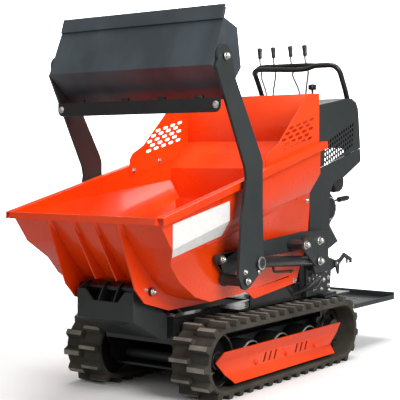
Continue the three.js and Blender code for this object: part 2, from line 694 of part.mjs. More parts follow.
function consoleCover() {
  const { coverHalf, coverT } = CONSOLE;
  const skin = [
    [300, 1160], [659, 1216], [702, 1216], [744, 1200], [764, 1170], [770, 1140], [790, 984],
    [372, 885.5], [300, 866],
  ];
  const inner = [
    [290, 1155.4], [659, 1213], [702, 1213], [742, 1197], [761, 1169], [767, 1140], [789, 960],
    [290, 845],
  ];
  const shell = cut(
    sidePlate(skin, -coverHalf, coverHalf),
    sidePlate(inner, -coverHalf + coverT, coverHalf - coverT),
  );
  const front = box(-coverHalf + 1, coverHalf - 1, 300, 303, 930, 1160.4);
  const leverSlots = [[-216, -150], [-26, 38]].map(([x0, x1]) => box(x0, x1, 672, 708, 1190, 1230));
  const posts = [236, -236].map((x) => bar([x, 731, 1170], [x, 707, 1236], 17, 12));
  return cut(join(shell, front), leverSlots, posts);
}
add("console_cover", consoleCover(), GREY);

function handlebar() {
  const main = [
    [236, 721, 930], [236, 721, 1060], [236, 721, 1190], [236, 706, 1240], [236, 668, 1304],
    [232, 640, 1348], [206, 628, 1371], [160, 627, 1374], [110, 625, 1373], [70, 619, 1362], [20, 614, 1359],
    [-90, 612, 1364], [-195, 612, 1368], [-228, 622, 1356], [-236, 644, 1340],
    [-236, 668, 1304], [-236, 706, 1240], [-236, 721, 1190], [-236, 721, 1060], [-236, 721, 930],
  ];
  const upper = [
    [140, 629, 1374], [60, 636, 1380], [-100, 640, 1383], [-200, 641, 1383], [-228, 640, 1366],
    [-234, 640, 1346],
  ];
  const feet = [1, -1].map((s) => box(s * 236, s * (CONSOLE.half - CONSOLE.t - GAP), 707, 735, 900, 936));
  return join(swept(main, 12.5, 42, 8), swept(upper, 11, 10, 6), feet);
}
add("handlebar", handlebar(), BLACK);

const leverBank = [
  { base: -204, waist: -231, grip: -240 },
  { base: -161, waist: -149, grip: -160 },
  { base: -13, waist: -48, grip: -61 },
  { base: 26, waist: 36, grip: 20 },
];
leverBank.forEach(({ base, waist, grip }, i) => {
  const y = LEVER.y;
  const top = grip + (grip - waist) * 0.3;
  const path = [
    [base, y, 1150], [base, y, 1215], [base, y, 1262], [waist, y, 1335], [waist, y, 1360],
    [grip, y, 1414], [grip, y, LEVER.knobZ],
  ];
  const hub = axle(y, LEVER.z, 9, base - 9.6, base + 9.6, 10);
  add("lever_" + (i + 1) + "_rod", join(swept(path, LEVER.rodR, 16, 6), hub), ZINC);
  const knob = bar([grip, y, LEVER.knobZ + GAP], [top, y, LEVER.knobZ + LEVER.knobH], 8.5, 14, 11.5);
  add("lever_" + (i + 1) + "_knob", knob, BLACK);
});

const valve = cut(
  join(box(-222, 60, 660, 706, 1100, 1172), box(-266.7, 266.7, 660, 666, 1104, 1140)),
  leverBank.map(({ base }) => box(base - 10, base + 10, 676, 702, 1140, 1180)),
);
add("control_valve", valve, ZINC);

function throttleKnob() {
  const lobes = [0, 1, 2, 3, 4].map((i) => {
    const turn = (2 * Math.PI * i) / 5;
    const x = 79 + 13 * Math.cos(turn);
    const y = 660 + 13 * Math.sin(turn);
    return bar([x, y, 1262], [x, y, 1288], 8.5, 8);
  });
  return join(bar([79, 660, 1262], [79, 660, 1290], 13, 10), bar([79, 660, 1216.4], [79, 660, 1270], 6, 8), lobes);
}
add("throttle_knob", throttleKnob(), BLACK);

// ---------------------------------------------------------------- engine
function engineBlock() {
  const foot = CHASSIS.deckZ + CHASSIS.deckT + GAP;
  const feet = [-110, 90].map((x) => box(x, x + 50, 400, 600, foot, 370));
  const crankcase = box(-130, 170, 390, 600, 368, 600);
  const barrelFins = [0, 1, 2, 3, 4].map((i) => box(-70, 130, 420, 590, 612 + i * 22, 622 + i * 22));
  const core = box(-50, 110, 440, 575, 598, 740);
  const head = box(-60, 120, 430, 585, 722, 760);
  const intake = axle(590, 822, 24, 60, 196, 14);
  const neck = box(70, 110, 560, 612, 740, 830);
  return join(feet, crankcase, barrelFins, core, head, intake, neck);
}
add("engine_block", engineBlock(), BLACK);
add("air_filter", turned([
  [1, 200], [46, 200], [50, 206], [50, 246], [44, 254], [1, 254],
], 622, 822, 18), BLACK);
add("recoil_starter", turned([
  [1, 170 + GAP], [76, 170 + GAP], [80, 180], [80, 206], [62, 224], [1, 230],
], 575, 700, 18), BLACK);

// ---------------------------------------------------------------- platform and its hook
function platform() {
  const { y, z, tubeR, half, front, rear, floorZ, lipZ, t } = PLATFORM;
  const floor = box(-half, half, front, rear, floorZ, floorZ + t);
  const rearLip = box(-half, half, rear - t, rear, floorZ, lipZ);
  const sideLips = [half - t, -half].map((x) => box(x, x + t, front, rear, floorZ, floorZ + 22));
  const knuckles = [1, -1].flatMap((s) => [
    axle(y, z, 24, s * 182, s * 204, 20),
    box(s * 182, s * 204, y, front + 40, floorZ, floorZ + 20),
  ]);
  const body = join(floor, rearLip, sideLips, knuckles);
  return cut(body, axle(y, z, tubeR + RUN, 170, 220, 20), axle(y, z, tubeR + RUN, -220, -170, 20));
}
add("platform", platform(), GREY);

function platformHook() {
  const outline = [
    [496, 440], [508, 432], [524, 400], [532, 400], [540, 446], [588, 474], [598, 474], [612, 460],
    [614, 444], [659, 443], [659, 466], [582, 496], [540, 470], [512, 468], [498, 464],
  ];
  const mouth = [[618, 430], [642, 430], [642, 458], [618, 458]];
  const plate = cut(sidePlate(outline, HOOK.x, HOOK.x + HOOK.t), sidePlate(mouth, HOOK.x - 2, HOOK.x + HOOK.t + 2));
  return cut(plate, axle(HOOK.y, HOOK.z, 7 + RUN, HOOK.x - 2, HOOK.x + HOOK.t + 2));
}
add("platform_hook", platformHook(), GREY);

// ---------------------------------------------------------------- assembly
for (const piece of pieces) root.add(piece);
root.position.set(0, -MACHINE_CENTRE_Y, 0);

export default root;
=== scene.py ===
"""Self-loading tracked power wheelbarrow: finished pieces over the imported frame.

Lengths in the classes are millimetres in the track frame: X to the machine's left, Y to the
rear from the middle of the tracks, Z up from the ground. at() turns them into scene metres.
"""

import json
import logging
import math
from dataclasses import dataclass
from enum import Enum
from typing import Callable, Iterable, Sequence

import bmesh
import bpy
from mathutils import Matrix, Vector


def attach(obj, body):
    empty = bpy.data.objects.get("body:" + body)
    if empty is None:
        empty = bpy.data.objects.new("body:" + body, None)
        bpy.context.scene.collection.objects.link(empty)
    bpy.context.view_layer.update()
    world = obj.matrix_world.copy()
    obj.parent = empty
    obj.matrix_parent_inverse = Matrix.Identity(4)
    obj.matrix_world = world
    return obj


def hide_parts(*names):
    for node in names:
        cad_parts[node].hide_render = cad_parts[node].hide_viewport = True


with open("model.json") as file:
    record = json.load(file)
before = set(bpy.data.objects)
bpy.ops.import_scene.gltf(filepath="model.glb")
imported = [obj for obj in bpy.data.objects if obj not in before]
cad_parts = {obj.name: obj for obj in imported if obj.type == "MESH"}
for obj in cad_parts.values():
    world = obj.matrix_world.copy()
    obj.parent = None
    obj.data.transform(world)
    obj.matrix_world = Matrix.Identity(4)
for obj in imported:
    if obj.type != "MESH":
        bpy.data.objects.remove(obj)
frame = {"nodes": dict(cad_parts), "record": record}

log = logging.getLogger("wheelbarrow")
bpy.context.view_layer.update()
CENTRE_Y = 110.5
SIDES = (("left", 1), ("right", -1))

Point = tuple[float, float, float]
Pair = tuple[float, float]
Maker = Callable[[bmesh.types.BMesh], None]
Socket = bpy.types.NodeSocket


def at(x: float, y: float, z: float) -> Vector:
    """Turns a point of the track frame in millimetres into scene metres.

    Args:
        x: distance to the machine's left.
        y: distance to the rear of the tracks' middle.
        z: height above the ground.

    Returns:
        The point in the scene.
    """
    return Vector((x, y - CENTRE_Y, z)) / 1000


def body_of(node: str) -> str:
    """Finds the moving body that holds a CAD node.

    Args:
        node: the node's name.

    Returns:
        The body's name.
    """
    for body, nodes in frame["record"]["behaviour"]["bodies"].items():
        if node in nodes:
            return body
    raise KeyError(node)


# ------------------------------------------------------------------ finishes


class Sheet:
    """A material under construction: its node tree with short calls for the usual nodes."""

    def __init__(self, name: str) -> None:
        """Starts an empty material with one Principled shader.

        Args:
            name: the material's name.
        """
        self.material = bpy.data.materials.new(name)
        self.material.use_nodes = True
        self.tree = self.material.node_tree
        self.shader = self.tree.nodes["Principled BSDF"]
        self.where = self.tree.nodes.new("ShaderNodeTexCoord").outputs["Object"]

    def set(self, **sockets: object) -> None:
        """Sets shader sockets by name, with underscores for spaces."""
        for name, value in sockets.items():
            self.shader.inputs[name.replace("_", " ")].default_value = value

    def stretch(self, scale: Point) -> Socket:
        """Stretches the pattern space.

        Args:
            scale: factor along each axis.

        Returns:
            The stretched coordinates.
        """
        node = self.tree.nodes.new("ShaderNodeMapping")
        node.inputs["Scale"].default_value = scale
        self.tree.links.new(self.where, node.inputs["Vector"])
        return node.outputs["Vector"]

    def noise(self, scale: float, detail: float = 4, space: Socket | None = None) -> Socket:
        """Adds a noise pattern.

        Args:
            scale: grains per metre.
            detail: octaves.
            space: coordinates, or None for the piece's own.

        Returns:
            The pattern's value, 0 to 1.
        """
        node = self.tree.nodes.new("ShaderNodeTexNoise")
        node.inputs["Scale"].default_value = scale
        node.inputs["Detail"].default_value = detail
        self.tree.links.new(space or self.where, node.inputs["Vector"])
        return node.outputs["Fac"]

    def ramp(self, value: Socket, stops: Sequence[tuple[float, Sequence[float]]]) -> Socket:
        """Maps a value to colours.

        Args:
            value: the pattern.
            stops: (place, rgb) pairs in order.

        Returns:
            The colour.
        """
        node = self.tree.nodes.new("ShaderNodeValToRGB")
        points = node.color_ramp.elements
        while len(points) < len(stops):
            points.new(1.0)
        for point, (place, colour) in zip(points, stops):
            point.position = place
            point.color = (*colour, 1.0)
        self.tree.links.new(value, node.inputs["Fac"])
        return node.outputs["Color"]

    def spread(self, value: Socket, low: float, high: float) -> Socket:
        """Maps a value from its usual range of 0.3 to 0.7 onto low to high.

        Args:
            value: the pattern.
            low: result at 0.3.
            high: result at 0.7.

        Returns:
            The mapped value.
        """
        node = self.tree.nodes.new("ShaderNodeMapRange")
        limits = {"From Min": 0.3, "From Max": 0.7, "To Min": low, "To Max": high}
        for name, number in limits.items():
            node.inputs[name].default_value = number
        self.tree.links.new(value, node.inputs["Value"])
        return node.outputs["Result"]

    def seen_directly(self, colour: Socket, bounce: Point) -> Socket:
        """Keeps a colour for the camera and gives another to the light that bounces off it.

        Args:
            colour: the colour that the camera sees.
            bounce: the colour for every other ray.

        Returns:
            The colour for the ray at hand.
        """
        path = self.tree.nodes.new("ShaderNodeLightPath")
        node = self.tree.nodes.new("ShaderNodeMix")
        node.data_type = "RGBA"
        self.tree.links.new(path.outputs["Is Camera Ray"], node.inputs["Factor"])
        colour_inputs = [socket for socket in node.inputs if socket.type == "RGBA"]
        colour_inputs[0].default_value = (*bounce, 1.0)
        self.tree.links.new(colour, colour_inputs[1])
        return next(socket for socket in node.outputs if socket.type == "RGBA")

    def wire(self, name: str, value: Socket) -> None:
        """Links a value to a shader socket."""
        self.tree.links.new(value, self.shader.inputs[name])

    def bump(self, value: Socket, strength: float, depth: float) -> None:
        """Raises the surface by a pattern.

        Args:
            value: the height pattern.
            strength: share of the effect.
            depth: height of the pattern in metres.
        """
        node = self.tree.nodes.new("ShaderNodeBump")
        node.inputs["Strength"].default_value = strength
        node.inputs["Distance"].default_value = depth
        self.tree.links.new(value, node.inputs["Height"])
        self.tree.links.new(node.outputs["Normal"], self.shader.inputs["Normal"])


@dataclass(frozen=True)
class PowderCoat:
    """Baked paint with a faint orange-peel skin and slow changes of tone."""

    name: str
    colour: Point
    deep: Point
    rough: float
    coat: float
    gloss: float = 0.4
    peel: float = 260.0
    relief: float = 0.00012

    def make(self) -> bpy.types.Material:
        """Builds the material."""
        s = Sheet(self.name)
        s.wire("Base Color", s.ramp(s.noise(2.2, 3), [(0.3, self.deep), (0.62, self.colour)]))
        s.wire("Roughness", s.spread(s.noise(9, 5), self.rough * 0.8, self.rough * 1.25))
        s.set(Coat_Weight=self.coat, Coat_Roughness=0.1, Specular_IOR_Level=self.gloss)
        s.bump(s.noise(self.peel, 2), 0.25, self.relief)
        return s.material


@dataclass(frozen=True)
class WornPaint:
    """Satin paint with broad, faint cloudy wear."""

    name: str
    colour: Point
    worn: Point
    rough: float

    def make(self) -> bpy.types.Material:
        """Builds the material."""
        s = Sheet(self.name)
        clouds = s.noise(3, 6, s.stretch((2.4, 1.2, 1.2)))
        s.wire("Base Color", s.ramp(clouds, [(0.35, self.colour), (0.7, self.worn)]))
        s.wire("Roughness", s.spread(clouds, self.rough, self.rough * 0.8))
        s.set(Metallic=0.1, Specular_IOR_Level=0.3)
        s.bump(s.noise(300, 3), 0.2, 0.0001)
        return s.material


@dataclass(frozen=True)
class BareMetal:
    """Zinc plate or hard chrome with fine turning marks."""

    name: str
    colour: Point
    dull: Point
    rough: float
    turned: Point = (1, 1, 1)

    def make(self) -> bpy.types.Material:
        """Builds the material."""
        s = Sheet(self.name)
        marks = s.noise(120, 4, s.stretch(self.turned))
        s.wire("Base Color", s.ramp(marks, [(0.3, self.dull), (0.6, self.colour)]))
        s.wire("Roughness", s.spread(marks, self.rough * 0.7, self.rough * 1.3))
        s.set(Metallic=1.0)
        s.bump(marks, 0.15, 0.0001)
        return s.material


@dataclass(frozen=True)
class TrackRubber:
    """Moulded rubber, dusted where it meets the ground."""

    name: str
    colour: Point
    dust: Point
    rough: float = 0.85

    def make(self) -> bpy.types.Material:
        """Builds the material."""
        s = Sheet(self.name)
        grain = s.noise(60, 6)
        patches = s.noise(9, 6)
        s.wire("Base Color", s.ramp(patches, [(0.35, self.colour), (0.7, self.dust)]))
        s.wire("Roughness", s.spread(grain, self.rough, 1.0))
        s.set(Specular_IOR_Level=0.35)
        s.bump(grain, 0.6, 0.0012)
        return s.material


@dataclass(frozen=True)
class Moulded:
    """Moulded plastic or cast metal with a fine grain."""

    name: str
    colour: Point
    light: Point
    rough: float
    grain: float = 500.0
    depth: float = 0.0003

    def make(self) -> bpy.types.Material:
        """Builds the material."""
        s = Sheet(self.name)
        s.wire("Base Color", s.ramp(s.noise(25, 4), [(0.35, self.colour), (0.7, self.light)]))
        s.wire("Roughness", s.spread(s.noise(40, 3), self.rough * 0.85, self.rough * 1.15))
        s.bump(s.noise(self.grain, 3), 0.4, self.depth)
        return s.material


class Finish(Enum):
    """The finishes of the machine."""

    ORANGE = PowderCoat(
        "orange powder coat", (0.9, 0.062, 0.002), (0.8, 0.04, 0.001), 0.3, 0.3, 0.3
    )
    GREY = PowderCoat(
        "graphite powder coat", (0.034, 0.039, 0.039), (0.025, 0.029, 0.029), 0.42, 0.1, 0.3
    )
    SHOVEL = WornPaint("shovel paint", (0.045, 0.056, 0.064), (0.075, 0.092, 0.105), 0.42)
    BLACK = PowderCoat("black gloss paint", (0.012, 0.011, 0.011), (0.008, 0.007, 0.007), 0.3, 0.3)
    ZINC = BareMetal("zinc plate", (0.75, 0.74, 0.7), (0.5, 0.5, 0.48), 0.32)
    DULL = BareMetal("dull zinc plate", (0.3, 0.3, 0.29), (0.2, 0.2, 0.19), 0.4)
    CHROME = BareMetal("hard chrome", (0.85, 0.85, 0.86), (0.7, 0.7, 0.72), 0.12, (1, 6, 6))
    CASTING = Moulded("cast engine", (0.03, 0.031, 0.033), (0.06, 0.062, 0.065), 0.5, 350, 0.0006)
    ALLOY = Moulded("machined alloy", (0.32, 0.33, 0.34), (0.45, 0.46, 0.47), 0.4, 200, 0.0002)
    PLASTIC = Moulded("black plastic", (0.014, 0.014, 0.015), (0.024, 0.024, 0.025), 0.4)
    RUBBER = TrackRubber("track rubber", (0.038, 0.034, 0.026), (0.075, 0.067, 0.052))
    DUSTY = TrackRubber("worn track rubber", (0.16, 0.15, 0.125), (0.34, 0.32, 0.28))
    PLATE = Moulded("white sign plate", (0.78, 0.78, 0.76), (0.84, 0.84, 0.82), 0.3, 150, 0.0001)

    def material(self) -> bpy.types.Material:
        """Gives the finish's material, built the first time it is asked for."""
        return bpy.data.materials.get(self.value.name) or self.value.make()


# ------------------------------------------------------------------ mesh making


def as_object(name: str, mesh: bpy.types.Mesh) -> bpy.types.Object:
    """Puts a mesh in the scene.

    Args:
        name: the object's name.
        mesh: its mesh.

    Returns:
        The new object, at the origin.
    """
    thing = bpy.data.objects.new(name, mesh)
    bpy.context.scene.collection.objects.link(thing)
    return thing


def flatten(thing: bpy.types.Object) -> bpy.types.Mesh:
    """Turns an object and its modifiers into a plain mesh and removes the object.

    Args:
        thing: the object with modifiers.

    Returns:
        The evaluated mesh.
    """
    graph = bpy.context.evaluated_depsgraph_get()
    mesh = bpy.data.meshes.new_from_object(
        thing.evaluated_get(graph), preserve_all_data_layers=True, depsgraph=graph
    )
    bpy.data.objects.remove(thing)
    return mesh


def soften(
    mesh: bpy.types.Mesh, width: float, segments: int = 2, limit: float = 36
) -> bpy.types.Mesh:
    """Rounds the sharp edges of a mesh.

    Args:
        mesh: a closed mesh.
        width: width of the rounding in millimetres.
        segments: faces across a rounding.
        limit: least angle in degrees of an edge that is rounded.

    Returns:
        The rounded mesh with smooth shading.
    """
    for face in mesh.polygons:
        face.use_smooth = True
    mesh.set_sharp_from_angle(angle=math.radians(limit))
    if width <= 0:
        return mesh
    thing = as_object("soften", mesh)
    bevel = thing.modifiers.new("edge", "BEVEL")
    bevel.width = width / 1000
    bevel.segments = segments
    bevel.limit_method = "ANGLE"
    bevel.angle_limit = math.radians(limit)
    bevel.harden_normals = True
    bevel.use_clamp_overlap = True
    bevel.miter_outer = "MITER_ARC"
    return flatten(thing)


class Piece:
    """One finished piece: its mesh, its finish, its body and the nodes it stands for."""

    @staticmethod
    def add(
        name: str,
        mesh: bpy.types.Mesh,
        finish: Finish,
        body: str,
        replaces: Sequence[str] = (),
        edge: float = 0.0,
        segments: int = 2,
    ) -> bpy.types.Object:
        """Adds a piece to the machine.

        Args:
            name: the piece's name.
            mesh: its mesh, in scene metres.
            finish: its finish.
            body: the body that it rides on.
            replaces: CAD nodes that it stands for.
            edge: width of its rounded edges in millimetres.
            segments: faces across a rounded edge.

        Returns:
            The piece's object.
        """
        thing = as_object(name, soften(mesh, edge, segments))
        thing.data.materials.clear()
        thing.data.materials.append(finish.material())
        if replaces:
            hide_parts(*replaces)
        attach(thing, body)
        log.info("%s: %d faces on %s", name, len(thing.data.polygons), body)
        return thing

    @staticmethod
    def from_node(node: str, finish: Finish, edge: float, segments: int = 2) -> bpy.types.Object:
        """Makes a finished copy of a CAD node, with its edges rounded.

        Args:
            node: the node's name.
            finish: the copy's finish.
            edge: width of the rounding in millimetres.
            segments: faces across a rounding.

        Returns:
            The piece's object.
        """
        name, mesh = node + "_finished", node_copy(node)
        return Piece.add(name, mesh, finish, body_of(node), [node], edge, segments)

    @staticmethod
    def copies(
        name: str, pattern: bpy.types.Mesh, spots: Sequence["Spot"], finish: Finish, body: str
    ) -> bpy.types.Object:
        """Adds one piece made of a pattern copied onto spots.

        Args:
            name: the piece's name.
            pattern: the mesh to repeat.
            spots: where the copies go.
            finish: the copies' finish.
            body: the body that they ride on.

        Returns:
            The piece's object.
        """
        return Piece.add(name, Scatter.copies(pattern, spots, finish), finish, body)


def node_copy(node: str) -> bpy.types.Mesh:
    """Copies a CAD node's mesh with its triangles merged into flat faces.

    Args:
        node: the node's name.

    Returns:
        The merged copy.
    """
    work = bmesh.new()
    work.from_mesh(frame["nodes"][node].data)
    bmesh.ops.remove_doubles(work, verts=work.verts, dist=2e-5)
    flat = math.radians(0.6)
    bmesh.ops.dissolve_limit(work, angle_limit=flat, verts=work.verts, edges=work.edges)
    bmesh.ops.recalc_face_normals(work, faces=work.faces)
    return finish_mesh(work, node)


def finish_mesh(work: bmesh.types.BMesh, name: str) -> bpy.types.Mesh:
    """Turns a work mesh into a mesh datablock.

    Args:
        work: the work mesh, freed here.
        name: the new mesh's name.

    Returns:
        The mesh.
    """
    mesh = bpy.data.meshes.new(name)
    work.to_mesh(mesh)
    work.free()
    return mesh


def joined(name: str, makers: Iterable[Maker]) -> bpy.types.Mesh:
    """Builds one mesh from several makers.

    Args:
        name: the mesh's name.
        makers: functions that each add a shape to a work mesh.

    Returns:
        The mesh, with its faces outwards.
    """
    work = bmesh.new()
    for maker in makers:
        maker(work)
    bmesh.ops.recalc_face_normals(work, faces=work.faces)
    return finish_mesh(work, name)


def turned(
    start: Vector, end: Vector, profile: Sequence[Pair], sides: int = 32, closed: bool = False
) -> Maker:
    """Makes a turned shape along a line.

    Args:
        start: one end of the axis.
        end: the other end.
        profile: (share of the axis length, radius in millimetres) pairs from start to end.
        sides: faces round the axis.
        closed: joins the profile's end to its start, for a ring, in place of flat end faces.

    Returns:
        A maker that adds the shape.
    """

    def maker(work: bmesh.types.BMesh) -> None:
        """Adds the turned shape."""
        axis = end - start
        turn = axis.to_track_quat("Z", "Y").to_matrix()
        rings = []
        for share, radius in profile:
            ring = []
            for i in range(sides):
                bearing = 2 * math.pi * i / sides
                offset = turn @ Vector((math.cos(bearing), math.sin(bearing), 0)) * (radius / 1000)
                ring.append(work.verts.new(start + axis * share + offset))
            rings.append(ring)
        pairs = list(zip(rings, rings[1:] + rings[:1])) if closed else list(zip(rings, rings[1:]))
        for low, high in pairs:
            for i in range(sides):
                j = (i + 1) % sides
                work.faces.new((low[i], low[j], high[j], high[i]))
        if not closed:
            work.faces.new(rings[0][::-1])
            work.faces.new(rings[-1])

    return maker


def tube(path: Sequence[Vector], radius: float, sides: int = 16, fillet: int = 6) -> Maker:
    """Makes a round tube along a smooth path.

    Args:
        path: the points that the tube passes.
        radius: the tube's radius in millimetres.
        sides: faces round it.
        fillet: steps between two points.

    Returns:
        A maker that adds the tube.
    """

    def maker(work: bmesh.types.BMesh) -> None:
        """Adds the tube."""
        points = smooth(path, fillet)
        normal = (points[1] - points[0]).orthogonal().normalized()
        rings = []
        for i, point in enumerate(points):
            ahead = points[min(i + 1, len(points) - 1)] - points[max(i - 1, 0)]
            ahead.normalize()
            normal = (normal - ahead * normal.dot(ahead)).normalized()
            side = ahead.cross(normal)
            ring = []
            for k in range(sides):
                bearing = 2 * math.pi * k / sides
                out = normal * math.cos(bearing) + side * math.sin(bearing)
                ring.append(work.verts.new(point + out * radius / 1000))
            rings.append(ring)
        for low, high in zip(rings, rings[1:]):
            for k in range(sides):
                j = (k + 1) % sides
                work.faces.new((low[k], low[j], high[j], high[k]))
        work.faces.new(rings[0][::-1])
        work.faces.new(rings[-1])

    return maker


def smooth(path: Sequence[Vector], steps: int) -> list[Vector]:
    """Rounds a path with a Catmull-Rom curve.

    Args:
        path: its points.
        steps: points per stretch.

    Returns:
        The denser path.
    """
    if len(path) == 2:
        return list(path)
    result = []
    for i in range(len(path) - 1):
        p0, p1, p2 = path[max(i - 1, 0)], path[i], path[i + 1]
        p3 = path[min(i + 2, len(path) - 1)]
        for k in range(steps):
            t = k / steps
            result.append(
                0.5
                * (
                    2 * p1
                    + (p2 - p0) * t
                    + (2 * p0 - 5 * p1 + 4 * p2 - p3) * t * t
                    + (3 * p1 - p0 - 3 * p2 + p3) * t**3
                )
            )
    result.append(path[-1])
    return result


def prism(outline: Sequence[Vector], thickness: Vector) -> Maker:
    """Makes a plate from an outline in space.

    Args:
        outline: its corners in order.
        thickness: the vector from one face to the other.

    Returns:
        A maker that adds the plate.
    """

    def maker(work: bmesh.types.BMesh) -> None:
        """Adds the plate."""
        low = [work.verts.new(p) for p in outline]
        high = [work.verts.new(p + thickness) for p in outline]
        work.faces.new(low[::-1])
        work.faces.new(high)
        for i in range(len(low)):
            j = (i + 1) % len(low)
            work.faces.new((low[i], low[j], high[j], high[i]))

    return maker


def block(low: Vector, high: Vector) -> Maker:
    """Makes a box between two corners.

    Args:
        low: one corner.
        high: the opposite corner.

    Returns:
        A maker that adds the box.
    """
    corners = ((low.x, low.y), (high.x, low.y), (high.x, high.y), (low.x, high.y))
    outline = [Vector((x, y, low.z)) for x, y in corners]
    return prism(outline, Vector((0, 0, high.z - low.z)))


# ------------------------------------------------------------------ repeated features


@dataclass
class Spot:
    """Where one repeated feature goes: its place, its turn and its size factor."""

    place: Vector
    turn: Matrix
    size: float = 1.0


def facing(direction: Point, spin: float = 0.0) -> Matrix:
    """Gives the turn that points a pattern's Z along a direction.

    Args:
        direction: where its Z goes.
        spin: turn about that direction in degrees.

    Returns:
        The rotation.
    """
    quat = Vector(direction).to_track_quat("Z", "Y")
    return quat.to_matrix() @ Matrix.Rotation(math.radians(spin), 3, "Z")


class Scatter:
    """A Geometry Nodes tree that copies a pattern onto points, with named inputs."""

    NAME = "copies on points"

    @classmethod
    def tree(cls) -> bpy.types.NodeTree:
        """Gives the tree, built the first time it is asked for."""
        known = bpy.data.node_groups.get(cls.NAME)
        if known:
            return known
        tree = bpy.data.node_groups.new(cls.NAME, "GeometryNodeTree")
        face = tree.interface
        face.new_socket("Points", in_out="INPUT", socket_type="NodeSocketGeometry")
        face.new_socket("Pattern", in_out="INPUT", socket_type="NodeSocketObject")
        face.new_socket("Size", in_out="INPUT", socket_type="NodeSocketFloat")
        face.new_socket("Finish", in_out="INPUT", socket_type="NodeSocketMaterial")
        face.new_socket("Geometry", in_out="OUTPUT", socket_type="NodeSocketGeometry")
        node = tree.nodes.new
        link = tree.links.new
        source, target = node("NodeGroupInput"), node("NodeGroupOutput")
        pattern = node("GeometryNodeObjectInfo")
        link(source.outputs["Pattern"], pattern.inputs["Object"])
        turn = node("GeometryNodeInputNamedAttribute")
        turn.data_type = "FLOAT_VECTOR"
        turn.inputs["Name"].default_value = "turn"
        size = node("GeometryNodeInputNamedAttribute")
        size.data_type = "FLOAT"
        size.inputs["Name"].default_value = "size"
        scale = node("ShaderNodeMath")
        scale.operation = "MULTIPLY"
        link(size.outputs["Attribute"], scale.inputs[0])
        link(source.outputs["Size"], scale.inputs[1])
        rotation = node("FunctionNodeEulerToRotation")
        link(turn.outputs["Attribute"], rotation.inputs["Euler"])
        copies = node("GeometryNodeInstanceOnPoints")
        link(source.outputs["Points"], copies.inputs["Points"])
        link(pattern.outputs["Geometry"], copies.inputs["Instance"])
        link(rotation.outputs["Rotation"], copies.inputs["Rotation"])
        link(scale.outputs["Value"], copies.inputs["Scale"])
        real = node("GeometryNodeRealizeInstances")
        link(copies.outputs["Instances"], real.inputs["Geometry"])
        paint = node("GeometryNodeSetMaterial")
        link(real.outputs["Geometry"], paint.inputs["Geometry"])
        link(source.outputs["Finish"], paint.inputs["Material"])
        link(paint.outputs["Geometry"], target.inputs["Geometry"])
        return tree

    @classmethod
    def copies(
        cls, pattern: bpy.types.Mesh, spots: Sequence[Spot], finish: Finish, size: float = 1.0
    ) -> bpy.types.Mesh:
        """Copies a pattern onto spots.

        Args:
            pattern: the mesh to repeat, about its own origin, in metres.
            spots: where the copies go.
            finish: the copies' finish.
            size: a factor for all of them.

        Returns:
            One plain mesh with every copy.
        """
        points = bpy.data.meshes.new("spots")
        points.from_pydata([s.place for s in spots], [], [])
        points.attributes.new("turn", "FLOAT_VECTOR", "POINT")
        points.attributes.new("size", "FLOAT", "POINT")
        for i, spot in enumerate(spots):
            points.attributes["turn"].data[i].vector = spot.turn.to_euler()
            points.attributes["size"].data[i].value = spot.size
        holder = as_object("spots", points)
        master = as_object("pattern", pattern)
        work = holder.modifiers.new("copies", "NODES")
        work.node_group = cls.tree()
        keys = {item.name: item.identifier for item in work.node_group.interface.items_tree}
        work[keys["Pattern"]] = master
        work[keys["Size"]] = size
        work[keys["Finish"]] = finish.material()
        mesh = flatten(holder)
        bpy.data.objects.remove(master)
        return mesh


def bolt_pattern(radius: float = 8.0, washer: float = 1.55) -> bpy.types.Mesh:
    """Makes a hexagon bolt head on a washer, standing on the XY plane.

    Args:
        radius: corner radius of the head in millimetres.
        washer: the washer's radius as a share of the head's.

    Returns:
        The mesh.
    """
    up = Vector((0, 0, radius / 1000))
    base = Vector((0, 0, 0))
    foot = up * 0.2
    head = [(0, radius), (0.78, radius), (1.0, radius * 0.84)]
    disc = [(0, radius * washer), (0.7, radius * washer), (1.0, radius * washer * 0.93)]
    stem = [(0, radius * 0.5), (0.8, radius * 0.5), (1.0, radius * 0.42)]
    return joined(
        "bolt",
        [
            turned(base, foot, disc, 20),
            turned(foot, foot + up * 0.75, head, 6),
            turned(foot + up * 0.7, foot + up * 1.05, stem, 12),
        ],
    )


def dome_nut(radius: float = 15.0) -> bpy.types.Mesh:
    """Makes a domed hexagon nut on a washer, standing on the XY plane.

    Args:
        radius: corner radius of the hexagon in millimetres.

    Returns:
        The mesh.
    """
    base, up = Vector((0, 0, 0)), Vector((0, 0, radius / 1000))
    disc = [(0, radius * 1.25), (0.7, radius * 1.25), (1.0, radius * 1.15)]
    head = [(0, radius), (0.85, radius), (1.0, radius * 0.86)]
    dome = ((0, 0.8), (0.3, 0.78), (0.6, 0.64), (0.85, 0.38), (1.0, 0.12))
    cap = [(share, radius * part) for share, part in dome]
    return joined(
        "dome nut",
        [
            turned(base, up * 0.18, disc, 24),
            turned(up * 0.18, up * 0.8, head, 6),
            turned(up * 0.78, up * 1.5, cap, 20),
        ],
    )


# ------------------------------------------------------------------ tracks


@dataclass(frozen=True)
class TreadBar:
    """One tread block: its reach across the belt, foot and top length, and its row's shift."""

    start: float
    end: float
    foot: float
    top: float
    shift: float


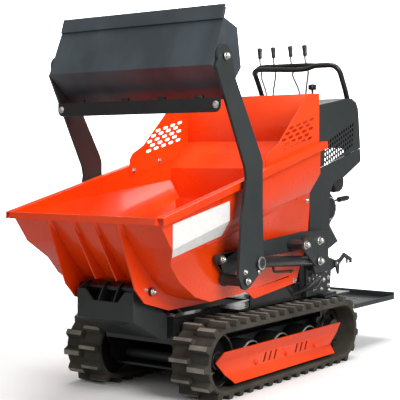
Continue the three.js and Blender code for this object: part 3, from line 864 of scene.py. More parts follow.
@dataclass
class Tracks:
    """Both crawler tracks: belt, tread, wheels, frames and guards."""

    wheel_y: float = 461
    axle_z: float = 154
    belt_r: float = 130
    belt_t: float = 18
    inner: float = 182
    outer: float = 362
    lugs: int = 37
    road_z: float = 123
    road_r: float = 80.5
    road_y: tuple[float, ...] = (-225, 5, 235)
    wheel_in: float = 214
    wheel_out: float = 312
    road_bore: float = 15.6
    idler_r: float = 109.5
    idler_bore: float = 18.6
    dish_depth: float = 0.62
    wheel_bolts: int = 5
    band_steps: int = 168
    guard_x: float = 330
    guard_bolt_z: float = 113
    guard_bolt_y: tuple[float, ...] = (-219, 9.5, 248)
    bars = {"outer": TreadBar(268, 362, 36, 22, 0), "inner": TreadBar(182, 280, 30, 17, 24)}

    def length(self) -> float:
        """Gives the belt's length round its outer face."""
        return 4 * self.wheel_y + 2 * math.pi * self.belt_r

    def station(self, distance: float) -> tuple[float, float, float]:
        """Finds a place on the belt's outer face.

        Args:
            distance: length along the belt from the front end of its top run.

        Returns:
            Y, Z and the belt's slope there in radians.
        """
        straight, bend = 2 * self.wheel_y, math.pi * self.belt_r
        s = distance % self.length()
        if s < straight:
            return -self.wheel_y + s, self.axle_z + self.belt_r, 0.0
        s -= straight
        if s < bend:
            return self.on_bend(self.wheel_y, math.pi / 2 - s / self.belt_r)
        s -= bend
        if s < straight:
            return self.wheel_y - s, self.axle_z - self.belt_r, math.pi
        return self.on_bend(-self.wheel_y, -math.pi / 2 - (s - straight) / self.belt_r)

    def on_bend(self, centre: float, bearing: float) -> tuple[float, float, float]:
        """Finds a place on the belt where it goes round a wheel.

        Args:
            centre: the wheel's Y.
            bearing: the place's bearing from the wheel's centre.

        Returns:
            Y, Z and the slope in radians.
        """
        y = centre + self.belt_r * math.cos(bearing)
        z = self.axle_z + self.belt_r * math.sin(bearing)
        return y, z, bearing - math.pi / 2

    def band(self, sign: int) -> bpy.types.Mesh:
        """Makes the belt without its tread.

        Args:
            sign: 1 for the left track, -1 for the right.

        Returns:
            The mesh.
        """
        t, chamfer = self.belt_t, 4
        section = [
            (self.inner, -t + chamfer),
            (self.inner, -chamfer),
            (self.inner + chamfer, 0),
            (self.outer - chamfer, 0),
            (self.outer, -chamfer),
            (self.outer, -t + chamfer),
            (self.outer - chamfer, -t),
            (self.inner + chamfer, -t),
        ]
        work = bmesh.new()
        rings = []
        for i in range(self.band_steps):
            y, z, slope = self.station(self.length() * i / self.band_steps)
            ring = []
            for x, out in section:
                place = at(sign * x, y - out * math.sin(slope), z + out * math.cos(slope))
                ring.append(work.verts.new(place))
            rings.append(ring)
        for i, ring in enumerate(rings):
            ahead = rings[(i + 1) % self.band_steps]
            for k in range(len(section)):
                j = (k + 1) % len(section)
                work.faces.new((ring[k], ring[j], ahead[j], ahead[k]))
        bmesh.ops.recalc_face_normals(work, faces=work.faces)
        return finish_mesh(work, "band")

    def lug(self, sign: int, bar: TreadBar, cap: bool) -> bpy.types.Mesh:
        """Makes one tapered tread block, or its worn top, about the belt's outer face.

        Args:
            sign: 1 for the left track, -1 for the right.
            bar: the block's sizes.
            cap: True for the worn top.

        Returns:
            The mesh.
        """
        taper = 0.5 * (bar.foot - bar.top)
        if cap:
            levels = ((23.2, taper + 1.6), (23.9, taper + 2.2))
        else:
            levels = ((-3.0, 0.0), (23.4, taper))
        work = bmesh.new()
        layers = []
        for height, inset in levels:
            x0, x1, y = bar.start + inset * 0.8, bar.end - inset * 0.8, bar.foot / 2 - inset
            corners = ((x0, -y), (x1, -y), (x1, y), (x0, y))
            places = [Vector((sign * a, b, height)) / 1000 for a, b in corners]
            layers.append([work.verts.new(place) for place in places])
        work.faces.new(layers[0][::-1])
        work.faces.new(layers[1])
        for i in range(4):
            j = (i + 1) % 4
            work.faces.new((layers[0][i], layers[0][j], layers[1][j], layers[1][i]))
        bmesh.ops.recalc_face_normals(work, faces=work.faces)
        return soften(finish_mesh(work, "lug"), 0 if cap else 2.2, 2, 30)

    def spots(self, shift: float) -> list[Spot]:
        """Gives one row of tread blocks' places round the belt.

        Args:
            shift: the row's shift along the belt.

        Returns:
            The spots.
        """
        result = []
        for i in range(self.lugs):
            y, z, slope = self.station(self.length() * i / self.lugs + shift)
            result.append(Spot(at(0, y, z), Matrix.Rotation(slope, 3, "X")))
        return result

    def wheel(
        self, side: str, sign: int, node: str, y: float, z: float, radius: float, bore: float
    ) -> None:
        """Adds one dished wheel with a bright worn rim.

        Args:
            side: left or right.
            sign: 1 or -1.
            node: the wheel's node name without its side.
            y: its axle's Y.
            z: its axle's Z.
            radius: its radius.
            bore: radius of its hole.
        """
        start, end = at(sign * self.wheel_in, y, z), at(sign * self.wheel_out, y, z)
        name, depth = f"{side}_{node}", self.dish_depth
        body = body_of(name)
        dish = [
            (0, bore), (0, radius - 12), (0.04, radius - 3), (0.08, radius), (0.92, radius),
            (0.96, radius - 2), (1.0, radius - 9), (0.96, radius - 13), (0.66, radius - 17),
            (depth, radius - 22), (depth, bore + 24), (0.7, bore + 20), (0.98, bore + 17),
            (1.0, bore + 14), (1.0, bore),
        ]
        mesh = joined(node, [turned(start, end, dish, 48, closed=True)])
        Piece.add(f"{name}_dish", mesh, Finish.BLACK, body, [name])
        steps = ((0.965, 3.2), (0.985, 3.2), (1.012, 8.6), (1.0, 9.6), (0.985, 9.6))
        rim = [(share, radius - inset) for share, inset in steps]
        ring = joined("rim", [turned(start, end, rim, 48, closed=True)])
        Piece.add(f"{name}_rim", ring, Finish.ZINC, body)
        share = 360 // self.wheel_bolts
        holes = [
            self.dish_spot(sign, y, z, radius * 0.52, share * k) for k in range(self.wheel_bolts)
        ]
        Piece.copies(f"{name}_bolts", bolt_pattern(6), holes, Finish.ZINC, body)

    def build(self) -> None:
        """Adds everything that belongs to the tracks."""
        for side, sign in SIDES:
            belt = f"{side}_track_belt"
            body = body_of(belt)
            Piece.add(f"{side}_belt_band", self.band(sign), Finish.RUBBER, body, [belt])
            for row, bar in self.bars.items():
                spots, name = self.spots(bar.shift), f"{side}_belt_{row}"
                blocks = Scatter.copies(self.lug(sign, bar, False), spots, Finish.RUBBER)
                Piece.add(f"{name}_lugs", blocks, Finish.RUBBER, body, [belt])
                top = self.lug(sign, bar, True)
                Piece.copies(f"{name}_worn_tops", top, spots, Finish.DUSTY, body)
            for i, y in enumerate(self.road_y, 1):
                node = f"road_wheel_{i}"
                self.wheel(side, sign, node, y, self.road_z, self.road_r, self.road_bore)
            place = (-self.wheel_y, self.axle_z)
            self.wheel(side, sign, "idler_wheel", *place, self.idler_r, self.idler_bore)
            Piece.from_node(f"{side}_drive_sprocket", Finish.BLACK, 1.5)
            Piece.from_node(f"{side}_track_frame", Finish.GREY, 1.5)
            Piece.from_node(f"{side}_track_guard", Finish.ORANGE, 1.0)
            self.guard_bolts(side, sign)

    def guard_bolts(self, side: str, sign: int) -> None:
        """Adds the bolts that hold a guard.

        Args:
            side: left or right.
            sign: 1 or -1.
        """
        spots = []
        for i, y in enumerate(self.guard_bolt_y):
            place = at(sign * self.guard_x, y, self.guard_bolt_z)
            spots.append(Spot(place, facing((sign, 0, 0), 20 * i)))
        body = body_of(f"{side}_track_guard")
        Piece.copies(f"{side}_guard_bolts", bolt_pattern(8), spots, Finish.ORANGE, body)

    def dish_spot(self, sign: int, y: float, z: float, reach: float, bearing: float) -> Spot:
        """Places a bolt on a wheel's dish.

        Args:
            sign: 1 for the left side, -1 for the right.
            y: the wheel's Y.
            z: the wheel's Z.
            reach: distance from the axle in millimetres.
            bearing: bearing round the axle in degrees.

        Returns:
            The spot.
        """
        turn = math.radians(bearing)
        x = self.wheel_in + (self.wheel_out - self.wheel_in) * self.dish_depth
        place = at(sign * x, y + reach * math.cos(turn), z + reach * math.sin(turn))
        return Spot(place, facing((sign, 0, 0), bearing))


# ------------------------------------------------------------------ chassis and loader supports


@dataclass
class Chassis:
    """The frame between the tracks, the front pivot and the loader's side supports."""

    link_x: float = 408
    lift_pin: Point = (414, 150, 498)
    ear: Point = (346, -479, 549)
    bracket_x: float = 289
    port_tip_x: float = 322
    ports: tuple[Pair, ...] = ((262, 401), (292, 413), (322, 405))

    def build(self) -> None:
        """Adds the chassis pieces and their bolts."""
        Piece.from_node("chassis_frame", Finish.BLACK, 1.2)
        Piece.from_node("front_pivot_bracket", Finish.GREY, 1.2)
        Piece.from_node("front_cross_tube", Finish.GREY, 1.0)
        Piece.from_node("tip_pivot_shaft", Finish.BLACK, 1.5)
        for side, sign in SIDES:
            for node in ("arm_beam", "link_plate", "rear_bracket"):
                Piece.from_node(f"{side}_{node}", Finish.GREY, 1.2)
            self.big_nuts(side, sign)
            self.small_bolts(side, sign)
            self.fittings(side, sign)

    def big_nuts(self, side: str, sign: int) -> None:
        """Adds the large domed nuts on the link plate and the beam's ear.

        Args:
            side: left or right.
            sign: 1 or -1.
        """
        places = ((self.link_x, 42, 573), (self.link_x, 156, 584), self.lift_pin)
        spots = [Spot(at(sign * x, y, z), facing((sign, 0, 0), 0.4 * y)) for x, y, z in places]
        x, y, z = self.ear
        spots.append(Spot(at(sign * x, y, z), facing((sign, 0, 0), 5), 0.75))
        Piece.copies(f"{side}_big_nuts", dome_nut(15), spots, Finish.ZINC, "chassis")

    def small_bolts(self, side: str, sign: int) -> None:
        """Adds the rows of small bolts on the rear bracket.

        Args:
            side: left or right.
            sign: 1 or -1.
        """
        places = [
            (300, 456), (428, 427), (446, 393), (404, 386), (341, 391), (447, 357),
            (318, 351), (383, 345), (453, 334),
        ]
        x = sign * self.bracket_x
        outwards = (sign, 0, 0)
        spots = [Spot(at(x, y, z), facing(outwards, 23 * i)) for i, (y, z) in enumerate(places)]
        Piece.copies(f"{side}_bracket_bolts", bolt_pattern(7), spots, Finish.ZINC, "chassis")

    def fittings(self, side: str, sign: int) -> None:
        """Adds the hose fittings and the short hoses under the lift cylinder.

        Args:
            side: left or right.
            sign: 1 or -1.
        """
        profile = [(0, 10), (0.35, 10), (0.38, 7), (0.6, 7), (0.62, 9), (0.95, 9), (1, 7)]
        makers = []
        for y, z in self.ports:
            start, end = at(sign * self.bracket_x, y, z), at(sign * self.port_tip_x, y, z)
            makers.append(turned(start, end, profile, 12))
        Piece.add(f"{side}_fittings", joined("fittings", makers), Finish.ZINC, "chassis")
        hoses = []
        for i, (y, z) in enumerate(self.ports):
            path = [
                at(sign * 320, y, z),
                at(sign * 332, y - 12, z - 4),
                at(sign * 322, y - 40, z - 26 - 6 * i),
                at(sign * 296, y - 62, z - 46),
                at(sign * 266, y - 84, 340),
                at(sign * 258, y - 92, 318),
            ]
            hoses.append(tube(path, 6, 12))
        Piece.add(f"{side}_hoses", joined("hoses", hoses), Finish.PLASTIC, "chassis")


# ------------------------------------------------------------------ skip


@dataclass
class Skip:
    """The tipping skip with its bolted extension."""

    wall: float = 360
    rim_y: float = -900
    rim_z: float = 728
    slope: float = 0.242
    fold: float = 138
    fold_run: float = 83
    low_wall: float = 307
    tip_axis: Pair = (-704, 437)
    bolt_y: tuple[float, ...] = (-164, 19, 207)

    def rim(self, y: float) -> float:
        """Gives the rim's height at a place along the machine."""
        return self.rim_z + self.slope * (y - self.rim_y)

    def build(self) -> None:
        """Adds the skip's pieces."""
        Piece.from_node("skip_tub", Finish.ORANGE, 1.4)
        Piece.from_node("skip_extension", Finish.ORANGE, 0.0)
        for side, sign in SIDES:
            self.sign_plate(side, sign)
            self.pivot_nuts(side, sign)
            self.bolts(side, sign)

    def sign_plate(self, side: str, sign: int) -> None:
        """Adds the plain plate on the skip's side wall.

        Args:
            side: left or right.
            sign: 1 or -1.
        """
        upper = [(-812, -48), (-455, -63), (-455, -self.fold), (-812, -self.fold)]
        lower = [(-812, -self.fold), (-455, -self.fold), (-455, -198), (-783, -178)]
        makers = []
        for corners in (upper, lower):
            outline = []
            for y, drop in corners:
                inwards = max(0.0, -drop - self.fold) * (self.wall - self.low_wall) / self.fold_run
                outline.append(at(sign * (self.wall + 0.8 - inwards), y, self.rim(y) + drop))
            makers.append(prism(outline, Vector((sign * 0.0016, 0, 0))))
        Piece.add(f"{side}_sign_plate", joined("plate", makers), Finish.PLATE, "skip", edge=0.4)

    def pivot_nuts(self, side: str, sign: int) -> None:
        """Adds the nut and the locking bolt at the tipping axis.

        Args:
            side: left or right.
            sign: 1 or -1.
        """
        outwards = facing((sign, 0, 0), 8)
        nut = [Spot(at(sign * 186, *self.tip_axis), outwards)]
        Piece.copies(f"{side}_tip_nut", dome_nut(11), nut, Finish.ZINC, "chassis")
        lock = [Spot(at(sign * 176, -733, 447), outwards)]
        Piece.copies(f"{side}_tip_lock_bolt", bolt_pattern(5.5), lock, Finish.ZINC, "skip")

    def bolts(self, side: str, sign: int) -> None:
        """Adds the bolts that hold the extension and the lower plate.

        Args:
            side: left or right.
            sign: 1 or -1.
        """
        spots = []
        for x, drop, way, rows in (
            (self.wall, 18, sign, self.bolt_y), (351.9, 26, -sign, self.bolt_y[:2])
        ):
            for i, y in enumerate(rows):
                spots.append(Spot(at(sign * x, y, self.rim(y) - drop), facing((way, 0, 0), 9 * i)))
        for y, z, spin in ((222, 752, 12), (116, 412, 30)):
            spots.append(Spot(at(sign * self.low_wall, y, z), facing((sign, 0, 0), spin)))
        Piece.copies(f"{side}_skip_bolts", bolt_pattern(8), spots, Finish.ZINC, "skip")


# ------------------------------------------------------------------ loader


@dataclass
class Loader:
    """The loader's arms, crossbar, shovel and lift cylinders."""

    arm_x: float = 421
    foot: Pair = (150, 498)
    boss: Pair = (-338, 529)
    cylinder_x: float = 377
    port: tuple[Pair, ...] = ((316, -22), (311, -36), (296, -42), (206, -42), (191, -42))

    def build(self) -> None:
        """Adds the loader's pieces."""
        Piece.from_node("arm_crossbar", Finish.BLACK, 1.2)
        ends = []
        for _, sign in SIDES:
            ends.append(Spot(at(sign * 389, -586, 1134), facing((0, -1, 0), 10 * sign)))
        Piece.copies("crossbar_bolts", bolt_pattern(9), ends, Finish.ZINC, "loader_arm")
        Piece.from_node("shovel", Finish.SHOVEL, 1.4)
        Piece.from_node("cutting_edge", Finish.SHOVEL, 1.2)
        for side, sign in SIDES:
            Piece.from_node(f"{side}_arm", Finish.GREY, 2.0)
            self.arm_fittings(side, sign)
            self.cylinder(side, sign)

    def arm_fittings(self, side: str, sign: int) -> None:
        """Adds the boss ring with its grease cap and the nuts on an arm.

        Args:
            side: left or right.
            sign: 1 or -1.
        """
        y, z = self.boss
        ring = [(0, 20), (0, 26), (0.8, 26), (1, 24.5), (1, 20)]
        cap = [(0, 9), (0.6, 9), (1, 6)]
        makers = [
            turned(at(sign * 431.5, y, z), at(sign * 436, y, z), ring, 40, closed=True),
            turned(at(sign * 421.5, y - 4, z - 34), at(sign * 427, y - 4, z - 34), cap, 12),
        ]
        Piece.add(f"{side}_boss_ring", joined("ring", makers), Finish.ZINC, "loader_arm")
        spots = [
            Spot(at(sign * 429.5, -431, 467), facing((sign, 0, 0), 4), 0.9),
            Spot(at(sign * self.arm_x, -437, 502), facing((sign, 0, 0), 40), 0.7),
        ]
        Piece.copies(f"{side}_arm_nuts", dome_nut(12), spots, Finish.ZINC, "loader_arm")
        head = [Spot(at(sign * 427, -572, 1311), facing((sign, 0, 0), 12))]
        Piece.copies(f"{side}_shovel_pin_head", dome_nut(12), head, Finish.ZINC, "shovel_bucket")

    def line(self, sign: int, distance: float, lift: float = 0.0) -> Vector:
        """Finds a point along a lift cylinder.

        Args:
            sign: 1 for the left, -1 for the right.
            distance: length from the foot pin in millimetres.
            lift: distance above the axis.

        Returns:
            The point.
        """
        x = sign * self.cylinder_x
        start, end = at(x, *self.foot), at(x, *self.boss)
        along = (end - start).normalized()
        return start + along * (distance / 1000) + Vector((0, 0, lift / 1000))

    def cylinder(self, side: str, sign: int) -> None:
        """Adds a lift cylinder's barrel, gland, port pipe and rod.

        Args:
            side: left or right.
            sign: 1 or -1.
        """
        barrel = [
            (0, 8), (0.0, 20), (0.02, 22.5), (0.93, 22.5), (0.932, 24.5), (0.985, 24.5),
            (1, 22.5), (1, 12.8), (0.92, 12.8),
        ]
        wall = [(0.92, 17), (0.1, 17), (0.1, 8)]
        union = [(0, 8), (0.5, 8), (0.55, 6), (1, 6)]
        eye = [(0, 12.7), (0, 21), (0.06, 22.5), (0.94, 22.5), (1, 21), (1, 12.7)]
        makers = [
            turned(self.line(sign, 24), self.line(sign, 412), barrel + wall, 36, closed=True),
            self.eye(sign, 17, self.foot, eye),
            tube([self.line(sign, along, drop) for along, drop in self.port], 5.5, 12),
            turned(self.line(sign, 190, -42), self.line(sign, 166, -42), union, 6),
        ]
        node = f"{side}_lift_barrel"
        tube_mesh = joined("barrel", makers)
        Piece.add(f"{side}_lift_tube", tube_mesh, Finish.BLACK, body_of(node), [node])
        head = [(0, 11), (0, 18.5), (0.08, 20), (0.92, 20), (1, 18.5), (1, 11)]
        collar = [(0, 15.5), (0.1, 16), (0.9, 16), (1, 15.5)]
        rod = [
            turned(self.line(sign, 78), self.line(sign, 472), [(0, 11.5), (1, 11.5)], 32),
            turned(self.line(sign, 72), self.line(sign, 90), collar, 32),
            self.eye(sign, 13, self.boss, head),
        ]
        node = f"{side}_lift_rod"
        rod_mesh = joined("rod", rod)
        Piece.add(f"{side}_lift_piston", rod_mesh, Finish.CHROME, body_of(node), [node])

    def eye(self, sign: int, half: float, pin: Pair, profile: Sequence[Pair]) -> Maker:
        """Makes the eye at one end of a lift cylinder.

        Args:
            sign: 1 for the left, -1 for the right.
            half: half of the eye's width.
            pin: Y and Z of its pin.
            profile: its ring section.

        Returns:
            A maker that adds the eye.
        """
        inner, outer = self.cylinder_x - half, self.cylinder_x + half
        return turned(at(sign * inner, *pin), at(sign * outer, *pin), profile, 32, closed=True)


# ------------------------------------------------------------------ console


@dataclass
class Console:
    """The rear console: side frames, vented cover, handlebar, levers and throttle."""

    bar_r: float = 12.5
    rail_r: float = 11
    lever_y: float = 690
    pivot_z: float = 1160
    vent_rows: int = 6
    vent_columns: int = 14
    vent_start: Pair = (446, 905)
    vent_pitch: Pair = (21.5, 23)
    vent_lean: float = 14

    def build(self) -> None:
        """Adds the console's pieces."""
        for side, _ in SIDES:
            Piece.from_node(f"{side}_console_frame", Finish.GREY, 1.2)
        self.cover()
        self.handlebar()
        Piece.from_node("control_valve", Finish.ALLOY, 1.5)
        for number, (base, waist, grip) in enumerate(
            ((-204, -231, -240), (-161, -149, -160), (-13, -48, -61), (26, 36, 20)), 1
        ):
            self.lever(number, base, waist, grip)
        self.throttle()

    def vents(self) -> list[Spot]:
        """Gives the places of the slots in the cover's side, in slanted rows."""
        spots = []
        first_y, first_z = self.vent_start
        pitch_y, pitch_z = self.vent_pitch
        for row in range(self.vent_rows):
            for column in range(self.vent_columns):
                y = first_y + column * pitch_y + row * 2
                z = first_z + row * pitch_z + (y - first_y) * 0.36
                edge = 1028 + (y - 520) * 0.34
                if z < edge + 8 and y < 724:
                    spots.append(Spot(at(0, y, z), Matrix.Identity(3)))
        return spots

    def cover(self) -> None:
        """Adds the cover with rows of slots through both sides."""
        lean = math.radians(self.vent_lean)
        outline = []
        for centre, start in ((2.6, 0), (-2.6, 180)):
            for k in range(5):
                bearing = math.radians(start + 45 * k)
                a, b = 7.2 * math.cos(bearing), centre + 6.4 * math.sin(bearing)
                along = a * math.cos(lean) - b * math.sin(lean)
                up = a * math.sin(lean) + b * math.cos(lean)
                outline.append(Vector((-600, along, up)) / 1000)
        cutter = joined("cutter", [prism(outline, Vector((1.2, 0, 0)))])
        slots = as_object("slots", Scatter.copies(cutter, self.vents(), Finish.GREY))
        shell = as_object("cover", node_copy("console_cover"))
        cut = shell.modifiers.new("vents", "BOOLEAN")
        cut.object = slots
        cut.solver = "EXACT"
        mesh = flatten(shell)
        bpy.data.objects.remove(slots)
        Piece.add("console_cover_vented", mesh, Finish.GREY, "chassis", ["console_cover"], 0.6)

    def handlebar(self) -> None:
        """Adds the bent handlebar and its second rail."""
        leg = [(721, 930), (721, 1060), (721, 1190), (706, 1240), (668, 1304)]
        main = [(236, y, z) for y, z in leg]
        main += [
            (232, 640, 1348), (206, 628, 1371), (160, 627, 1374), (110, 625, 1373),
            (70, 619, 1362), (20, 614, 1359), (-90, 612, 1364), (-195, 612, 1368),
            (-228, 622, 1356), (-236, 644, 1340),
        ]
        main += [(-236, y, z) for y, z in reversed(leg)]
        upper = [
            (140, 629, 1374), (60, 636, 1380), (-100, 640, 1383),
            (-200, 641, 1383), (-228, 640, 1366), (-234, 640, 1346),
        ]
        makers = [
            tube([at(*p) for p in main], self.bar_r, 20, 8),
            tube([at(*p) for p in upper], self.rail_r, 18, 8),
        ]
        for sign in (1, -1):
            makers.append(block(at(sign * 236, 707, 900), at(sign * 262.7, 735, 936)))
        mesh = joined("handlebar", makers)
        Piece.add("handlebar_tube", mesh, Finish.BLACK, "chassis", ["handlebar"])

    def lever(self, number: int, base: float, waist: float, grip: float) -> None:
        """Adds one valve lever with its grip.

        Args:
            number: the lever's number from the machine's right.
            base: X at the foot.
            waist: X at the bend.
            grip: X at the grip.
        """
        y = self.lever_y
        path = [
            (base, y, 1150), (base, y, 1215), (base, y, 1262), (waist, y, 1335),
            (waist, y, 1360), (grip, y, 1414), (grip, y, 1436),
        ]
        hub = [(0, 8.5), (0.1, 9), (0.9, 9), (1, 8.5)]
        makers = [
            tube([at(*p) for p in path], 4.8, 14, 8),
            turned(at(base - 9.4, y, self.pivot_z), at(base + 9.4, y, self.pivot_z), hub, 20),
        ]
        body = f"lever_{number}"
        Piece.add(f"{body}_stem", joined("stem", makers), Finish.DULL, body, [f"{body}_rod"])
        lean = (grip - waist) * 0.3
        profile = [
            (0, 7), (0.03, 9.6), (0.1, 10.6), (0.3, 10.4), (0.55, 11),
            (0.75, 12.2), (0.9, 12.6), (0.97, 11), (1, 7),
        ]
        knob = joined("knob", [turned(at(grip, y, 1430), at(grip + lean, y, 1484), profile, 28)])
        Piece.add(f"{body}_grip", knob, Finish.PLASTIC, body, [f"{body}_knob"])
        boot = [(0, 17), (0.2, 17), (0.3, 13), (0.45, 14.5), (0.6, 10), (0.75, 11), (1, 6)]
        sleeve = joined("boot", [turned(at(base, y, 1219), at(base, y, 1243), boot, 24)])
        Piece.add(f"{body}_boot", sleeve, Finish.PLASTIC, body)

    def throttle(self) -> None:
        """Adds the star knob."""
        x, y = 79, 660
        makers = [
            turned(at(x, y, 1216.5), at(x, y, 1266), [(0, 9), (0.1, 9), (0.12, 6), (1, 6)], 20),
            turned(at(x, y, 1262), at(x, y, 1290), [(0, 11), (0.1, 13), (0.8, 13), (1, 9)], 28),
        ]
        for k in range(5):
            turn = 2 * math.pi * k / 5
            a, b = x + 12.5 * math.cos(turn), y + 12.5 * math.sin(turn)
            finger = [(0, 6.5), (0.12, 8.5), (0.85, 8.5), (1, 6)]
            makers.append(turned(at(a, b, 1263), at(a, b, 1288), finger, 20))
        mesh = joined("star", makers)
        Piece.add("throttle_star", mesh, Finish.PLASTIC, "throttle", ["throttle_knob"])


# ------------------------------------------------------------------ engine


@dataclass
class Engine:
    """The petrol engine under the cover, with its starter, filter and pipes."""

    starter: Pair = (575, 700)
    filter: Pair = (622, 822)
    fins: int = 16
    fin_reach: float = 50

    def build(self) -> None:
        """Adds the engine's pieces."""
        Piece.from_node("engine_block", Finish.CASTING, 2.0)
        self.recoil()
        self.air_filter()
        self.pipes()

    def recoil(self) -> None:
        """Adds the starter's drum, its fins and shroud, and the pull handle."""
        y, z = self.starter
        start, end = at(170.4, y, z), at(229.5, y, z)
        profile = [
            (0, 72), (0.04, 77), (0.15, 80), (0.55, 80), (0.62, 77),
            (0.84, 63), (0.9, 58), (0.96, 40), (1, 38), (1, 1),
        ]
        drum = joined("drum", [turned(start, end, profile, 48)])
        Piece.add("recoil_drum", drum, Finish.PLASTIC, "chassis", ["recoil_starter"])
        fin = joined("fin", [block(Vector((-0.0025, -0.014, 0)), Vector((0.0025, 0.014, 0.004)))])
        spots = []
        reach = self.fin_reach
        for k in range(self.fins):
            turn = 2 * math.pi * k / self.fins
            place = at(225.5, y + reach * math.cos(turn), z + reach * math.sin(turn))
            spots.append(Spot(place, facing((1, 0, 0), math.degrees(turn))))
        Piece.copies("recoil_fins", soften(fin, 0.8), spots, Finish.ALLOY, "chassis")
        ring = [(0, 74), (0, 83), (0.4, 86), (0.7, 86), (1, 80), (1, 74)]
        shroud = joined("shroud", [turned(at(176, y, z), at(196, y, z), ring, 48, closed=True)])
        Piece.add("recoil_shroud", shroud, Finish.ALLOY, "chassis")
        knob = [(0, 5), (0.4, 5), (0.42, 13), (0.9, 13), (1, 9)]
        grip = joined("grip", [turned(at(196, y + 60, z + 30), at(232, y + 168, z + 46), knob, 24)])
        Piece.add("starter_grip", grip, Finish.PLASTIC, "chassis")

    def air_filter(self) -> None:
        """Adds the round air filter."""
        y, z = self.filter
        profile = [
            (0, 30), (0, 44), (0.05, 47), (0.3, 47), (0.33, 49.5), (0.45, 49.5),
            (0.48, 47), (0.8, 46), (0.93, 40), (1, 30), (1, 1),
        ]
        can = joined("can", [turned(at(196.5, y, z), at(254, y, z), profile, 48)])
        Piece.add("air_filter_can", can, Finish.PLASTIC, "chassis", ["air_filter"])

    def pipes(self) -> None:
        """Adds the fuel hose, the plug lead and the exhaust."""
        hose = [
            (120, 590, 760), (150, 640, 770), (176, 655, 700), (180, 650, 630), (150, 600, 585),
        ]
        lead = [
            (60, 585, 745), (90, 640, 760), (140, 665, 720), (150, 640, 660), (120, 598, 640),
        ]
        makers = [tube([at(*p) for p in hose], 6.5, 14), tube([at(*p) for p in lead], 4.5, 12)]
        Piece.add("engine_hoses", joined("hoses", makers), Finish.PLASTIC, "chassis")
        profile = [(0, 20), (0.2, 20), (0.22, 44), (0.3, 48), (0.92, 48), (1, 42)]
        exhaust = [turned(at(-60, 500, 700), at(-200, 500, 700), profile, 36)]
        Piece.add("exhaust", joined("exhaust", exhaust), Finish.CASTING, "chassis")


# ------------------------------------------------------------------ platform


@dataclass
class Platform:
    """The fold-down platform for the driver and its hook."""

    floor: float = 222
    bar: Point = (11, 2.2, 1.4)
    rows: int = 13
    columns: int = 9
    start: Pair = (-258, 745)
    pitch: Pair = (43, 42)

    def build(self) -> None:
        """Adds the platform's pieces."""
        Piece.from_node("platform", Finish.GREY, 1.0)
        Piece.from_node("platform_hook", Finish.GREY, 1.0)
        a, b, height = self.bar
        corners = [Vector(p) / 1000 for p in ((-a, -b, 0), (a, -b, 0), (a, b, 0), (-a, b, 0))]
        bar = joined("tread", [prism(corners, Vector((0, 0, height / 1000)))])
        spots = []
        for i in range(self.rows):
            for j in range(self.columns):
                x, y = self.start[0] + i * self.pitch[0], self.start[1] + j * self.pitch[1]
                turn = Matrix.Rotation(math.radians(45 if (i + j) % 2 else -45), 3, "Z")
                spots.append(Spot(at(x, y, self.floor - 0.2), turn))
        Piece.copies("platform_tread", soften(bar, 0.6), spots, Finish.GREY, "operator_platform")
        bolt = [Spot(at(298, 508, 452), facing((1, 0, 0)))]
        Piece.copies("hook_bolt", bolt_pattern(6), bolt, Finish.ZINC, "platform_latch")


@dataclass
class TipRam:
    """The tipping ram under the skip."""

    def build(self) -> None:
        """Adds the ram's barrel and rod."""
        Piece.from_node("tip_ram_barrel", Finish.BLACK, 0.8)
        Piece.from_node("tip_ram_rod", Finish.CHROME, 0.8)


# ------------------------------------------------------------------ stage


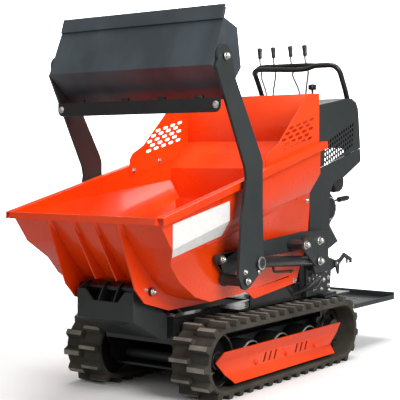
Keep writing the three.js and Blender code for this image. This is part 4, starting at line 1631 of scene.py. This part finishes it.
@dataclass
class Studio:
    """A pale floor, soft lights and the camera."""

    azimuth: float = 36.04
    elevation: float = 2.34
    lens: float = 94.84
    eye: Point = (2633.5, -3770.0, 940.6)
    bounce: float = 0.3
    seen: float = 0.95

    def build(self) -> None:
        """Adds the floor, the lights and the camera."""
        self.floor()
        self.lights()
        self.camera()

    def floor(self) -> None:
        """Adds a floor that curves up into a backdrop."""
        work = bmesh.new()
        profile = [
            (-9.0, -0.0006), (4.5, -0.0006), (5.6, 0.12), (6.5, 0.5),
            (7.1, 1.2), (7.3, 2.4), (7.3, 9.0),
        ]
        turn = Matrix.Rotation(math.radians(self.azimuth), 3, "Z")
        rows = []
        for y, z in profile:
            ends = [turn @ Vector((x, y, 0)) + Vector((0, 0, z)) for x in (-12, 12)]
            rows.append([work.verts.new(end) for end in ends])
        for low, high in zip(rows, rows[1:]):
            work.faces.new((low[0], low[1], high[1], high[0]))
        mesh = finish_mesh(work, "floor")
        for face in mesh.polygons:
            face.use_smooth = True
        thing = as_object("floor", mesh)
        s = Sheet("pale floor")
        pale = s.ramp(s.noise(1.5, 3), [(0.3, (0.93, 0.93, 0.925)), (0.7, (0.96, 0.96, 0.955))])
        s.wire("Base Color", s.seen_directly(pale, (0.4, 0.4, 0.4)))
        s.set(Roughness=0.75)
        thing.data.materials.append(s.material)
        bend = thing.modifiers.new("smooth", "SUBSURF")
        bend.levels = 2
        bend.render_levels = 2

    def lights(self) -> None:
        """Adds four soft panels and a pale surround, dimmer for bounced light."""
        for name, place, size, power, aim in (
            ("key", (4.6, -1.4, 3.2), 3.0, 270, (0, -0.2, 0.7)),
            ("fill", (-1.5, -5.0, 3.0), 3.0, 30, (0, -0.2, 0.7)),
            ("top", (0.0, 0.3, 5.2), 3.0, 240, (0, 0, 0.6)),
            ("backdrop", (-2.6, 3.6, 3.8), 4.0, 420, (-4.4, 6.0, 0.6)),
        ):
            data = bpy.data.lights.new(name, "AREA")
            data.size = size
            data.energy = power
            lamp = bpy.data.objects.new(name, data)
            bpy.context.scene.collection.objects.link(lamp)
            lamp.location = place
            lamp.rotation_euler = (Vector(aim) - Vector(place)).to_track_quat("-Z", "Y").to_euler()
        world = bpy.data.worlds.new("studio")
        world.use_nodes = True
        tree = world.node_tree
        background = tree.nodes["Background"]
        background.inputs["Color"].default_value = (1, 1, 1, 1)
        path = tree.nodes.new("ShaderNodeLightPath")
        level = tree.nodes.new("ShaderNodeMapRange")
        level.inputs["To Min"].default_value = self.bounce
        level.inputs["To Max"].default_value = self.seen
        tree.links.new(path.outputs["Is Camera Ray"], level.inputs["Value"])
        tree.links.new(level.outputs["Result"], background.inputs["Strength"])
        bpy.context.scene.world = world

    def camera(self) -> None:
        """Adds the camera."""
        data = bpy.data.cameras.new("camera")
        data.lens = self.lens
        data.sensor_width = 36
        camera = bpy.data.objects.new("camera", data)
        bpy.context.scene.collection.objects.link(camera)
        camera.location = at(*self.eye)
        camera.rotation_euler = (math.radians(90 - self.elevation), 0, math.radians(self.azimuth))
        bpy.context.scene.camera = camera
        bpy.context.scene.view_settings.view_transform = "Standard"


def main() -> None:
    """Builds the machine in order."""
    logging.basicConfig(level=logging.INFO, format="%(message)s")
    machine = (Tracks(), Chassis(), Skip(), Loader(), TipRam(), Console(), Engine(), Platform())
    for assembly in (*machine, Studio()):
        log.info("== %s", type(assembly).__name__)
        assembly.build()
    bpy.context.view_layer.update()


if __name__ == "__main__":
    main()
